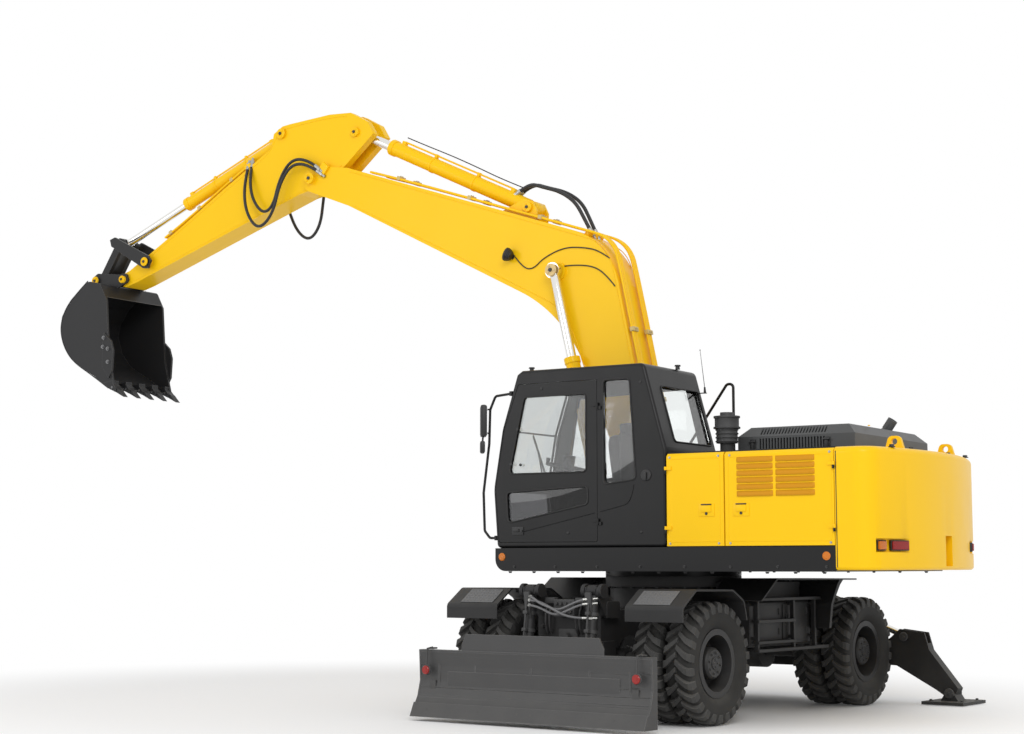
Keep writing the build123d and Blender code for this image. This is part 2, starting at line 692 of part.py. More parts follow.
def body_frames():
    left = side_frame()
    right = mirror_y(side_frame())
    top = block(weight_x + seat_gap, cab_rear_x - 5, 41 - house_half, house_half - 41, body_top - 6, body_top)
    top -= block(hood_rear + 45, -1040, hood_right + 60, hood_left - 60, body_top - 7, body_top + 1)
    bulkhead = block(cab_rear_x - 45, cab_rear_x - 5, 100 - house_half, house_half - 100, deck_top, body_top - 6)
    frame = left + right + top + bulkhead
    for place in (left_front_hinge, left_rear_hinge, right_door_hinge):
        x, y, _ = place
        side = 1 if y > 0 else -1
        frame = fused(frame, hinge(place, -1, door_hinge_heights, side * house_half)[1])
        for z in door_hinge_heights:
            y0, y1 = sorted((side * (house_half - door_thick - 20), y))
            frame += block(x - hinge_leaf, x + hinge_leaf, y0, y1, z - hinge_half, z + hinge_half)
    for side in (1, -1):
        y0, y1 = sorted((side * (480 + seat_gap), side * 500))
        x, _, z = hood_hinge
        frame += prism_y([(x - 8, body_top - 2), (x + 22, body_top - 2), (x + 11, z + 5), (x + 5, z + 11),
                          (x - 5, z + 11), (x - 8, z)], y0, y1)
    return frame


def side_door(x0, x1, place, towards=-1, grilles=()):
    """Left side door. towards is -1 where it is hinged at its front edge, and +1 at its rear edge."""
    door = block(x0, x1, house_half - door_thick, house_half, deck_top + 8, body_top - 12)
    door = chamfer(door.faces().sort_by(Axis.Y)[-1].edges().sort_by(Axis.Z)[-1], 25)
    for g0, g1 in grilles:
        for step in range(6):
            z0 = 1935 + step * 58
            door -= block(g0, g1, house_half - door_thick - 1, house_half + 1, z0, z0 + 34)
    x, y, z = place
    return fused(door, hinge((x, abs(y), z), towards, door_hinge_heights, house_half)[0])


def hood_block(wall):
    """Closed block of the hood, drawn in by the wall: upright sides and sloped shoulders."""
    x0, x1, y0, y1 = hood_rear + wall, hood_front - wall, hood_right + wall, hood_left - wall
    base = body_top + seat_gap - (wall and 1)
    shoulder, top = hood_side_top - wall / 2, hood_top - wall
    lower = block(x0, x1, y0, y1, base, shoulder)
    shrink = hood_slope - wall / 4
    low_face = Plane((0, 0, shoulder)) * Pos((x0 + x1) / 2, (y0 + y1) / 2) * Rectangle(x1 - x0, y1 - y0)
    top_face = Plane((0, 0, top)) * Pos((x0 + x1) / 2, (y0 + y1) / 2) * Rectangle(x1 - x0 - 2 * shrink,
                                                                                  y1 - y0 - 2 * shrink)
    return lower + loft([low_face.face(), top_face.face()])


def engine_hood():
    hood = hood_block(0) - hood_block(hood_wall)
    # vent slots in the left side and its shoulder, between the two catches
    slots = []
    for k in range(vent_count):
        x = vent_x + k * vent_pitch
        slots.append(block(x, x + vent_width, hood_left - 60, hood_left + 1, 2365, 2470))
        slots.append(block(x, x + vent_width, hood_left - 78, hood_left - 15, 2506, 2600))
    hood -= Compound([slot.solid() for slot in slots])
    # tail pipe, and the hinge at the front edge
    tail = shaft((-1790, -900, hood_top - 10), (-1800, -900, 2625), 48)
    tail += shaft((-1800, -900, 2615), (-1865, -900, 2705), 48)
    tail -= shaft((-1790, -900, hood_top - 20), (-1800, -900, 2620), 40)
    tail -= shaft((-1795, -900, 2608), (-1880, -900, 2726), 40)
    x, _, z = hood_hinge
    return hood + tail + pin_y((x, z), -480, 480, 14) + block(x - 30, x, -480, 480, z - 8, z + 8)


def engine():
    """Engine across the body, its muffler, the coolers at the left and the pump at the right."""
    crankcase = block(-1850, -1250, -560, 420, deck_top, 2150) + block(-1750, -1350, -500, 360, 2140, 2290)
    coolers = block(-2080, -1130, 470, 900, deck_top, 2260)
    pump = block(-1720, -1320, -1000, -660, deck_top, 2050)
    muffler = shaft((-1790, -1040, 2230), (-1790, -300, 2230), 110)
    muffler += shaft((-1790, -900, 2230), (-1790, -900, 2520), 38)
    muffler += block(-1850, -1750, -520, -420, 2100, 2230)
    return group(crankcase + muffler, coolers, pump)


def air_and_exhaust():
    """Pre-cleaner of the engine's air intake, ribbed, on its stem."""
    x, y = precleaner
    cleaner = shaft((x, y, body_top), (x, y, 2430), 62) + shaft((x, y, 2430), (x, y, 2560), 95)
    cleaner += shaft((x, y, 2560), (x, y, 2665), 108)
    for z in (2440, 2475, 2510, 2545):
        cleaner += shaft((x, y, z), (x, y, z + 10), 103)
    cleaner += shaft((x, y, 2560), (x, y, 2575), 120) + shaft((x, y, 2655), (x, y, 2672), 118)
    return cleaner + shaft((x, y, 2670), (x, y, 2705), 60)


def swing_and_valves():
    """Swing motor on its gearbox and the main valve block, behind the boom's foot."""
    motor = shaft((-330, 0, deck_top), (-330, 0, 1700), 130) + shaft((-330, 0, 1695), (-330, 0, 1960), 85)
    motor += block(-400, -260, -60, 60, 1850, 1900)
    valves = block(-520, -200, -500, -220, deck_top, 1850)
    for k in range(5):
        valves += shaft((-490 + 65 * k, -360, 1845), (-490 + 65 * k, -360, 1900), 18)
    return group(motor, valves)


def right_boxes():
    tank = block(cab_rear_x + 5, 250, 15 - house_half, -590, deck_top, body_top - 10)
    tank = fillet(tank.edges().filter_by(Axis.X).group_by(Axis.Z)[-1], 40)
    tank += shaft((-420, -760, body_top - 15), (-420, -760, body_top + 45), 55)
    box = prism_y([(255, deck_top), (1120, deck_top), (1120, 1820), (1000, 1960), (255, 1960)], 15 - house_half, -590,
                  [3, 3, 60, 60, 3])
    for k in range(2):
        box -= block(980 - 3, 980 + 3, -1160 + 300 * k, -930 + 300 * k, 1500, 1980)
    return group(tank, box)


def cab_profile(inset=0.0):
    return [(cab_back + inset, cab_low + inset), (cab_nose - 42 - inset, cab_low + inset),
            (cab_nose - inset, cab_nose_z), (cab_brow - inset, cab_brow_z),
            (cab_brow - 167 - inset, cab_roof - 35 - inset), (cab_brow - 222 - inset, cab_roof - inset),
            (cab_back_top + inset, cab_roof - 3 - inset), (cab_back + inset, cab_back_z)]


def cab_shell():
    outer_radii = [cab_corner_r, cab_corner_r, 400, 300, 25, 25, 60, 200]
    inner_radii = [20, 20, 300, 200, 12, 12, 30, 100]
    shell = prism_y(cab_profile(), cab_in, cab_out, outer_radii)
    roof_edges = [edge for edge in shell.edges() if edge.center().Z > cab_roof - 10 and abs(edge.length) > 900]
    shell = fillet([edge for edge in roof_edges if min(abs(edge.center().Y - y) for y in (cab_in, cab_out)) < 1], 30)
    shell -= prism_y(cab_profile(cab_wall), cab_in + cab_wall, cab_out - cab_wall, inner_radii)
    # windscreen, in the front face, upper and lower
    shell -= prism_y([(cab_nose + 22, 1700), (1000, 1700), (1000, 2040), (cab_nose + 22, 2040)],
                     cab_in + 60, cab_out - 60)
    shell -= prism_y([(cab_nose + 62, 2090), (1000, 2090), (700, 3060), (1100, 3060)], cab_in + 60, cab_out - 60)
    # left door opening and the narrow window behind it
    shell -= prism_y(door_profile(4), cab_out - cab_wall - 1, cab_out + 1, 20)
    shell -= prism_y([(47, cab_roof - 135), (-228, cab_roof - 136), (-288, 2105), (44, 2069)],
                     cab_out - cab_wall - 1, cab_out + 1, pane_r)
    # right side window, rear window
    shell -= prism_y([(1040, 2120), (900, 2960), (-280, 2990), (-420, 2420), (-420, 2120)],
                     cab_in - 1, cab_in + cab_wall + 1, pane_r)
    shell -= prism_x([(cab_in + 70, 2440), (cab_out - 210, 2440), (cab_out - 210, 2950), (cab_in + 70, 2950)],
                     -700, -200, pane_r)
    x, y, _ = cab_door_hinge
    shell = fused(shell, hinge(cab_door_hinge, 1, cab_hinge_heights, cab_out)[1])
    for z in cab_hinge_heights:
        shell += block(x - 35, x, cab_out - 5, y, z - hinge_half, z + hinge_half)
    return shell


def door_profile(grow=0.0):
    top = cab_roof - 130 + grow
    return [(112 - grow, 1560 - grow), (cab_nose - 73 + grow, 1560 - grow), (cab_nose - 33 + grow, cab_nose_z),
            (cab_brow - 34 + grow, cab_brow_z), (cab_brow - 190 + grow, top), (112 - grow, top)]


def cab_door():
    door = prism_y(door_profile(), cab_out - 40, cab_out, 20)
    door -= prism_y([(893, 2896), (225, 2896), (225, 2186), (1058, 2187)], cab_out - 41, cab_out + 1, pane_r)
    door -= prism_y([(1085, 2019), (208, 2059), (209, 1895), (1067, 1735)], cab_out - 41, cab_out + 1, pane_r)
    return fused(door, hinge(cab_door_hinge, 1, cab_hinge_heights, cab_out)[0])


def cab_interior():
    """Seat with armrests and the steering column; all widths are measured from the seat's middle."""
    floor = cab_low + cab_wall
    seat = block(80, 560, seat_y - 245, seat_y + 245, 1900, 2010)
    seat += block(20, 130, seat_y - 235, seat_y + 235, 1990, 2640)
    seat += block(180, 480, seat_y - 155, seat_y + 155, floor, 1905)
    for side in (1, -1):
        y0, y1 = sorted((seat_y + side * 275, seat_y + side * 375))
        seat += block(120, 560, y0, y1, 1980, 2160)
    seat += block(150, 250, seat_y - 315, seat_y + 315, 1960, 2000)
    column = shaft((858, seat_y, floor + 20), (756, seat_y, 2272), 40)
    column += block(810, 910, seat_y - 50, seat_y + 50, floor, floor + 40)
    column += Pos(750, seat_y, 2265) * Rot(0, -12, 0) * Torus(180, 14)
    column += Pos(750, seat_y, 2262) * Rot(0, -12, 0) * Box(360, 30, 14)
    return group(seat, column)


def cab_front_x(z):
    """Front face of the cab at a height."""
    line = [(x, h) for x, h in cab_profile()[1:6]]
    ahead = next((pair for pair in zip(line, line[1:]) if z <= pair[1][1]), (line[-2], line[-1]))
    (x0, z0), (x1, z1) = ahead
    return x0 + (x1 - x0) * (z - z0) / (z1 - z0)


def bent_bar(points, y, r, bend=40.0):
    """A round bar bent through points (x, z) in one plane."""
    wire = FilletPolyline(*[(x, y, z) for x, z in points], radius=bend)
    return sweep(Plane(origin=wire @ 0, z_dir=wire % 0) * Circle(r), path=wire)


def right_rail():
    """Grab rail over the tank, down to the box in front of it."""
    tank_top, box_level = body_top - 10 + seat_gap, 1960 + seat_gap
    rail = bent_bar([(-160, tank_top), (-160, 3150), (-90, 3150), (560, 2260), (560, box_level)], -1000, 14)
    return group(rail, bent_bar([(940, box_level), (940, 2260), (700, 2260), (700, box_level)], -1180, 14))


def handrails():
    top, low, y = cab_roof - 205, cab_low + 95, cab_out - 30
    path = [(cab_front_x(top) + 20, top), (1230, 2925), (1290, 2800), (1300, 2480), (1363, 2024), (1350, 1669),
            (1290, low), (cab_front_x(low) + 20, low)]
    rail = bent_bar(path, y, 12)
    for z in (top, low):
        below, above = cab_front_x(z - 22) + seat_gap, cab_front_x(z + 22) + seat_gap
        foot = max(below, above) + 25
        rail += prism_y([(below, z - 22), (above, z + 22), (foot, z + 22), (foot, z - 22)], y - 22, y + 22)
    return rail


# ---- Working equipment --------------------------------------------------------------

def boom():
    """In the boom's own axes: origin at the foot pin, +x along the line to the arm pin."""
    outline = [(-40, 140), boom_knee_top, boom_head_top, (boom_len, 175), (boom_len + 163, 0), (boom_len, -150),
               (boom_len - 637, 78), (1981, 849), (60, -140), (-130, -60)]
    radii = [80, 780, 300, 120, 100, 100, 300, 1600, 60, 60]
    body = prism_y(outline, -boom_half, boom_half, radii)
    body -= block(boom_len - 537, boom_len + 363, -arm_half - 10, arm_half + 10, -400, 700)
    body -= pin_y((0, 0), -boom_half - 1, boom_half + 1, foot_pin_r + pin_fit)
    body += pin_y((boom_len, 0), -boom_half - 40, boom_half + 40, arm_pin_r)
    for side in (1, -1):
        y0, y1 = sorted((side * boom_half, side * (boom_half + 30)))
        body += pin_y(boom_cyl_head, y0, y1, 95)
        y0, y1 = sorted((side * 90, side * 120))
        px, pz = arm_cyl_base
        body += prism_y([(px - 226, pz - 135), (px + 274, pz - 285), (px + 104, pz + 35), (px, pz + 80),
                         (px - 106, pz + 35)], y0, y1)
    body -= pin_y(arm_cyl_base, -60, 60, 100)
    body += pin_y(arm_cyl_base, -135, 135, 42)
    return body


def arm():
    """In the arm's own axes: origin at the boom pin, +x along the line to the bucket pin."""
    outline = [(-905, 160), (-860, 330), (-684, 512), (-407, 617), (139, 752), (257, 776), (400, 745), (480, 600),
               (1279, 434), (1950, 280), (arm_len - 424, 150), (arm_len - 90, arm_tip_r), (arm_len, arm_tip_r),
               (arm_len, -arm_tip_r), (arm_len - 144, -93), (250, -75), (-150, -120), (-456, -22)]
    body = prism_y(outline, -arm_half, arm_half) + pin_y((arm_len, 0), -arm_half, arm_half, arm_tip_r)
    body -= pin_y((0, 0), -arm_half - 1, arm_half + 1, arm_pin_r + pin_fit)
    # forks for the arm cylinder's rod and the bucket cylinder's barrel
    body -= prism_y([(-1000, -200), (-330, -200), (-330, -130), (-490, 185), (-490, 800), (-1000, 800)], -65, 65)
    body -= prism_y([(180, 560), (900, 400), (1400, 420), (1400, 900), (180, 900)], -82, 82)
    body += pin_y(bucket_cyl_base, -arm_half - 20, arm_half + 20, 40)
    for side in (1, -1):
        y0, y1 = sorted((side * arm_half, side * (arm_half + 18)))
        body += pin_y(arm_cyl_head, y0, y1, 44)
    body += pin_y(rocker_pin, -rocker_out - 15, rocker_out + 15, 36)
    body += pin_y((arm_len, 0), -arm_half - 65, arm_half + 65, bucket_pin_r)
    return body


def bucket():
    """In the bucket's own axes: origin at the arm pin, with the arm's heading at rest."""
    side_line = [(68, -260), (120, -40), (300, 60), (631, -51), (820, -190), (889, -340), (880, -560),
                 (780, -780), (506, -1061), (280, -1322), (215, -1290), (207, -916)]
    inner = [(40, -300), (150, -80), (310, 20), (615, -80), (795, -210), (862, -345), (853, -555),
             (758, -765), (486, -1042), (262, -1300), (-50, -1400)]
    shell = prism_y(side_line, -bucket_half, bucket_half, [30, 60, 120, 200, 100, 130, 200, 250, 300, 5, 5, 100])
    shell -= prism_y(inner, -bucket_half + bucket_wall, bucket_half - bucket_wall,
                     [20, 50, 100, 180, 80, 110, 180, 230, 280, 3, 20])
    # wear strips under the back
    for y in (-300, 0, 300):
        strip = prism_y([(889, -340), (880, -560), (780, -780), (506, -1061), (370, -1215), (385, -1228),
                         (520, -1075), (796, -790), (896, -565), (905, -340)], y - 45, y + 45)
        shell += strip
    for side in (1, -1):
        y0, y1 = sorted((side * (arm_half + 15), side * (arm_half + 45)))
        ear = prism_y([(-70, -50), (-60, 60), (40, 80), (380, 230), (480, 210), (560, -60), (300, 40), (120, -60)],
                      y0, y1, [40, 40, 60, 50, 50, 3, 60, 3])
        ear -= pin_y((0, 0), y0 - 1, y1 + 1, bucket_pin_r + pin_fit)
        shell += ear
        shell += pin_y(bucket_link_pin, *sorted((side * (arm_half + 40), side * (arm_half + 62))), 58)
        # side cutter along the lower half of the mouth
        y0, y1 = sorted((side * (bucket_half - 4), side * (bucket_half + 22)))
        shell += prism_y([(190, -640), (110, -770), (105, -900), (185, -1120), (262, -1190), (320, -1010),
                          (250, -780)], y0, y1, [3, 20, 20, 20, 3, 3, 3])
    shell += pin_y(bucket_link_pin, -arm_half - 60, arm_half + 60, 38)
    # adapters welded over the lip, with their teeth
    for k in range(tooth_count):
        y = (k - (tooth_count - 1) / 2) * tooth_pitch
        shell += prism_y([(372, -1205), (300, -1300), (210, -1375), (190, -1340), (228, -1262), (215, -1230)],
                         y - 48, y + 48)
        shell += prism_y([(262, -1320), (215, -1372), (110, -1470), (165, -1360), (212, -1300)], y - 36, y + 36)
    return shell


def rocker():
    """Two side plates outside the arm, in the arm's own axes, origin at the rocker pivot."""
    dx, dz = link_pin[0] - rocker_pin[0], link_pin[1] - rocker_pin[1]
    plates = []
    length = hypot(dx, dz)
    for side in (1, -1):
        y0, y1 = sorted((side * rocker_in, side * rocker_out))
        bar = prism_y([(-70, -50), (0, -80), (length, -60), (length + 60, 0), (length, 60), (0, 80), (-70, 50)], y0, y1)
        bar -= pin_y((0, 0), y0 - 1, y1 + 1, 36 + pin_fit)
        plates.append(bar)
    lever = plates[0] + plates[1] + pin_y((length, 0), arm_half - 20, rocker_in + 1, 40)
    lever += pin_y((length, 0), -rocker_in - 1, -arm_half + 20, 40)
    return Rot(0, -degrees(atan2(dz, dx)), 0) * lever


def h_link():
    """In the upper frame's directions, origin at the bucket's link pin."""
    start, end = bucket_link_joint, link_joint
    length = hypot(end[0] - start[0], end[1] - start[1])
    body = block(-46, 46, -arm_half + 30, arm_half - 30, 60, length - 110)
    for side in (1, -1):
        y0, y1 = sorted((side * 75, side * (arm_half - 30)))
        body += block(-50, 50, y0, y1, 40, length)
        body += pin_y((0, length), y0, y1, 62)
        body += pin_y((0, 0), y0, y1, 70)
    body -= pin_y((0, 0), -arm_half, arm_half, 38 + pin_fit)
    return body


def upper_cylinders():
    boom_barrels, boom_rods = [], []
    for side in (1, -1):
        barrel, rod = cylinder_xz(boom_cyl_base, boom_cyl_end, boom_y + side * boom_cyl_offset, boom_barrel_r,
                                  boom_rod_r, 80, 45, 30, 30, boom_rod_shown, 350)
        boom_barrels.append(barrel)
        boom_rods.append(rod)
    arm_barrel, arm_rod = cylinder_xz(arm_cyl_start, arm_cyl_end, boom_y, arm_barrel_r, arm_rod_r, 78, 42, 85, 55,
                                      arm_rod_shown, 1060)
    bucket_barrel, bucket_rod = cylinder_xz(bucket_cyl_start, link_joint, boom_y, bucket_barrel_r, bucket_rod_r,
                                            68, 40, 75, 55, bucket_rod_shown, 430)
    return {"boom_barrels": group(*boom_barrels), "boom_rods": group(*boom_rods),
            "arm_barrel": arm_barrel, "arm_rod": arm_rod,
            "bucket_barrel": bucket_barrel, "bucket_rod": bucket_rod}


# ---- Nodes --------------------------------------------------------------------------

def undercarriage_nodes():
    barrels, rods = blade_cylinders()
    left_leg = outrigger()
    left_barrel, left_rod = outrigger_cylinder()
    nodes = {
        "chassis_frame": chassis_frame(), "slew_ring": slew_ring(), "front_axle": front_axle(),
        "rear_axle": rear_axle(), "drive_line": drive_line(),
        "front_fender_left": front_fender(), "front_fender_right": mirror_y(front_fender()),
        "rear_fenders": rear_fenders(), "side_boxes": side_boxes(), "side_steps": side_steps(),
        "knuckle_left": knuckle(),
        "knuckle_right": mirror_y(knuckle()), "tie_rod": tie_rod(), "dozer_blade": dozer_blade(),
        "blade_barrels": barrels, "blade_rods": rods,
        "outrigger_left": left_leg, "outrigger_right": mirror_y(left_leg),
        "leg_barrel_left": left_barrel, "leg_barrel_right": mirror_y(left_barrel),
        "leg_rod_left": left_rod, "leg_rod_right": mirror_y(left_rod),
    }
    pair, metal = tyres(), rims()
    for name, x, side in wheel_places():
        nodes["tyres_" + name] = at_wheel(pair, x, side)
        nodes["rims_" + name] = at_wheel(metal, x, side)
    return nodes


def upper_nodes():
    nodes = {
        "house_deck": house_deck(), "counterweight": counterweight(), "body_frames": body_frames(),
        "left_front_door": side_door(-1164, cab_rear_x - 12, left_front_hinge), "engine_hood": engine_hood(),
        "left_rear_door": side_door(weight_x + 6, -1176, left_rear_hinge, 1,
                                    ((-1615, -1302), (-1995, -1665))),
        "right_door": mirror_y(side_door(weight_x + 6, cab_rear_x - 12, right_door_hinge)),
        "engine": engine(), "air_and_exhaust": air_and_exhaust(), "right_boxes": right_boxes(),
        "swing_and_valves": swing_and_valves(), "right_rail": right_rail(),
        "cab_shell": cab_shell(), "cab_door": cab_door(), "cab_interior": cab_interior(),
        "handrails": handrails(),
        "boom": turned(boom(), boom_foot, boom_rest, boom_y),
        "arm": turned(arm(), boom_head, arm_rest, boom_y),
        "bucket": turned(bucket(), arm_head, bucket_rest, boom_y),
        "rocker": turned(rocker(), rocker_pivot, arm_rest, boom_y),
        "h_link": Pos(bucket_link_joint[0], boom_y, bucket_link_joint[1])
        * Rot(0, 90 - heading_of(bucket_link_joint, link_joint), 0) * h_link(),
    }
    nodes.update(upper_cylinders())
    return nodes


def write_all():
    for place, nodes in ((under, undercarriage_nodes()), (upper, upper_nodes())):
        for name, shape in nodes.items():
            solids = place(shape).solids()
            node = solids[0] if len(solids) == 1 else Compound(solids)
            export_step(node, "parts/" + name + ".step")


write_all()
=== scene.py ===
import json
import math

import bmesh
import bpy
from mathutils import Matrix, Vector


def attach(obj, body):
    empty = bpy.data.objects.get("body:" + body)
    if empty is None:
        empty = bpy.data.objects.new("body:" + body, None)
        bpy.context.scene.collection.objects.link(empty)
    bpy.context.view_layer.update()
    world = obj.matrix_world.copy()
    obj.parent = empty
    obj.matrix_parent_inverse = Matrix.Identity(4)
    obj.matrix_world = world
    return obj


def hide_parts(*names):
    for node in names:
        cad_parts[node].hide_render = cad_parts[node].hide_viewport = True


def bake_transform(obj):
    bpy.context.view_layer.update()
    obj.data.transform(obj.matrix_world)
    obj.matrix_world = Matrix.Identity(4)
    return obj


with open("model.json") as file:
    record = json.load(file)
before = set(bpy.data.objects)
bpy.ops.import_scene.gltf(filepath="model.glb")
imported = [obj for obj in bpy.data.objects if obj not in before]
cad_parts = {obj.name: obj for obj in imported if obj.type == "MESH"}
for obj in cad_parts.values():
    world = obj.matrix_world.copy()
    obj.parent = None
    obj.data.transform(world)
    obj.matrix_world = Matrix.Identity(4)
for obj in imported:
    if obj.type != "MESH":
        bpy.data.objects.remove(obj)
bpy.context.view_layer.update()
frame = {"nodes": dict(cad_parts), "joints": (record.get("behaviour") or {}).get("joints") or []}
print("frame loaded")


def jointPlace(name):
    return Vector(next(j["pos_m"] for j in frame["joints"] if j["name"] == name))


def turned(degrees, axis):
    return Matrix.Rotation(math.radians(degrees), 4, axis)


def workFrame(origin, tip):
    along = (tip - origin).normalized()
    up = Vector((-along.z, 0, along.x))
    turn = Matrix((along, Vector((0, 1, 0)), up)).transposed().to_4x4()
    return Matrix.Translation(origin) @ turn


swingPlace = jointPlace("swing")
axleLine = (jointPlace("steer_left") - jointPlace("steer_right")).normalized()
heading = math.atan2(-axleLine.x, axleLine.y)

house = Matrix.Translation((swingPlace.x, swingPlace.y, 0))      # x to the bucket, y left
chassis = house @ Matrix.Rotation(heading, 4, "Z")               # x to the blade, y left
boomFrame = workFrame(jointPlace("boom_lift"), jointPlace("arm_crowd"))
armFrame = workFrame(jointPlace("arm_crowd"), jointPlace("bucket_curl"))
bucketFrame = armFrame.copy()
bucketFrame.translation = jointPlace("bucket_curl")
boomY = -0.17

cameraLook = {"place": (-8.086, 15.076, 1.345), "yaw": -56.672, "pitch": 6.335, "lens": 62.902, "sensor": 36,
              "reach": 500}


def makeCamera():
    data = bpy.data.cameras.new("camera")
    data.lens, data.sensor_width = cameraLook["lens"], cameraLook["sensor"]
    data.clip_end = cameraLook["reach"]
    camera = bpy.data.objects.new("camera", data)
    camera.location = house @ Vector(cameraLook["place"])
    yaw, pitch = math.radians(cameraLook["yaw"]), math.radians(cameraLook["pitch"])
    look = Vector((math.cos(pitch) * math.cos(yaw), math.cos(pitch) * math.sin(yaw), math.sin(pitch)))
    camera.rotation_euler = look.to_track_quat("-Z", "Y").to_euler()
    bpy.context.scene.collection.objects.link(camera)
    bpy.context.scene.camera = camera


makeCamera()


def feed(tree, value, socket):
    # a socket takes a color, a number or another node's output
    if isinstance(value, tuple):
        socket.default_value = (*value, 1)
    elif isinstance(value, (int, float)):
        socket.default_value = value
    else:
        tree.links.new(value, socket)


def mathNode(tree, operation, *values):
    node = tree.nodes.new("ShaderNodeMath")
    node.operation = operation
    for value, socket in zip(values, node.inputs):
        feed(tree, value, socket)
    return node.outputs[0]


def vectorNode(tree, operation, values, output):
    node = tree.nodes.new("ShaderNodeVectorMath")
    node.operation = operation
    for slot, value in values.items():
        feed(tree, value, node.inputs[slot])
    return node.outputs[output]


def noiseNode(tree, scale, detail=3.0):
    # noise over the piece's own coordinates
    noise = tree.nodes.new("ShaderNodeTexNoise")
    feed(tree, tree.nodes.new("ShaderNodeTexCoord").outputs["Object"], noise.inputs["Vector"])
    feed(tree, detail, noise.inputs["Detail"])
    feed(tree, scale, noise.inputs["Scale"])
    return noise.outputs["Fac"]


def mixColor(tree, factor, first, second):
    mix = tree.nodes.new("ShaderNodeMix")
    mix.data_type = "RGBA"
    feed(tree, factor, mix.inputs["Factor"])
    for value, slot in ((first, "A"), (second, "B")):
        feed(tree, value, next(s for s in mix.inputs if s.name == slot and s.type == "RGBA"))
    return next(s for s in mix.outputs if s.type == "RGBA")


def shaderGroup(name, inputs, outputs):
    # a tuple among the inputs is a color, a number is a value
    group = bpy.data.node_groups.new(name, "ShaderNodeTree")
    for label, value in inputs.items():
        kind = "NodeSocketColor" if isinstance(value, tuple) else "NodeSocketFloat"
        feed(group, value, group.interface.new_socket(label, in_out="INPUT", socket_type=kind))
    for label in outputs:
        kind = "NodeSocketColor" if label == "Color" else "NodeSocketFloat"
        group.interface.new_socket(label, in_out="OUTPUT", socket_type=kind)
    return group, group.nodes.new("NodeGroupInput").outputs, group.nodes.new("NodeGroupOutput").inputs


def makeColorDrift():
    # a finish whose tone wanders a little over the surface
    tree, given, out = shaderGroup("colorDrift", {"Color": (0.5, 0.5, 0.5), "Drift": 0.1, "Scale": 2.0},
                                   ["Color"])
    wave = mathNode(tree, "SUBTRACT", noiseNode(tree, given["Scale"]), 0.5)
    gain = mathNode(tree, "ADD", mathNode(tree, "MULTIPLY", wave, given["Drift"]), 1.0)
    feed(tree, vectorNode(tree, "SCALE", {0: given["Color"], "Scale": gain}, 0), out["Color"])
    return tree


def makeSettledDust():
    # dust that lies on upward faces and low down
    tree, given, out = shaderGroup("settledDust", {"Color": (0.5, 0.5, 0.5), "Dust": (0.2, 0.19, 0.17),
                                                   "Amount": 0.2, "Top": 1.3}, ["Color", "Mask"])
    geometry = tree.nodes.new("ShaderNodeNewGeometry").outputs
    facing = tree.nodes.new("ShaderNodeSeparateXYZ")
    place = tree.nodes.new("ShaderNodeSeparateXYZ")
    feed(tree, geometry["Normal"], facing.inputs[0])
    feed(tree, geometry["Position"], place.inputs[0])
    upward = mathNode(tree, "MAXIMUM", facing.outputs["Z"], 0.25)
    low = mathNode(tree, "SUBTRACT", 1.0, mathNode(tree, "DIVIDE", place.outputs["Z"], given["Top"]))
    low = mathNode(tree, "MAXIMUM", low, 0.15)
    cloud = mathNode(tree, "MULTIPLY", noiseNode(tree, 5.0, 6.0), 1.6)
    mask = mathNode(tree, "MULTIPLY", mathNode(tree, "MULTIPLY", upward, low), cloud)
    mask = mathNode(tree, "MINIMUM", mathNode(tree, "MULTIPLY", mask, given["Amount"]), 0.85)
    feed(tree, mixColor(tree, mask, given["Color"], given["Dust"]), out["Color"])
    feed(tree, mask, out["Mask"])
    return tree


def makeEdgeWear():
    # bare or rubbed metal along the edges
    tree, given, out = shaderGroup("edgeWear", {"Color": (0.5, 0.5, 0.5), "Worn": (0.3, 0.3, 0.3),
                                                "Amount": 0.5, "Width": 0.006}, ["Color"])
    bevel = tree.nodes.new("ShaderNodeBevel")
    bevel.samples = 4
    feed(tree, given["Width"], bevel.inputs["Radius"])
    normal = tree.nodes.new("ShaderNodeNewGeometry").outputs["Normal"]
    same = vectorNode(tree, "DOT_PRODUCT", {0: bevel.outputs[0], 1: normal}, "Value")
    edge = mathNode(tree, "MULTIPLY", mathNode(tree, "SUBTRACT", 1.0, same), 9.0)
    patch = mathNode(tree, "MULTIPLY", noiseNode(tree, 14.0, 5.0), 1.7)
    mask = mathNode(tree, "MULTIPLY", mathNode(tree, "MULTIPLY", edge, patch), given["Amount"])
    mask = mathNode(tree, "MINIMUM", mask, 0.9)
    feed(tree, mixColor(tree, mask, given["Color"], given["Worn"]), out["Color"])
    return tree


def makeRoughSpread():
    # gloss that differs a little from place to place, duller under dust
    tree, given, out = shaderGroup("roughSpread", {"Roughness": 0.4, "Spread": 0.1, "Scale": 4.0,
                                                   "Dust": 0.0}, ["Roughness"])
    wave = mathNode(tree, "SUBTRACT", noiseNode(tree, given["Scale"], 5.0), 0.5)
    rough = mathNode(tree, "ADD", mathNode(tree, "MULTIPLY", wave, given["Spread"]), given["Roughness"])
    rough = mathNode(tree, "ADD", rough, mathNode(tree, "MULTIPLY", given["Dust"], 0.5))
    feed(tree, mathNode(tree, "MINIMUM", mathNode(tree, "MAXIMUM", rough, 0.02), 1.0), out["Roughness"])
    return tree


def makeGrain():
    # orange peel, casting grain or moulded grain, by its scale
    tree, given, out = shaderGroup("surfaceGrain", {"Scale": 60.0, "Broad": 0.3}, ["Height"])
    broad = noiseNode(tree, mathNode(tree, "DIVIDE", given["Scale"], 12.0), 2.0)
    broad = mathNode(tree, "MULTIPLY", broad, given["Broad"])
    feed(tree, mathNode(tree, "ADD", noiseNode(tree, given["Scale"], 2.0), broad), out["Height"])
    return tree


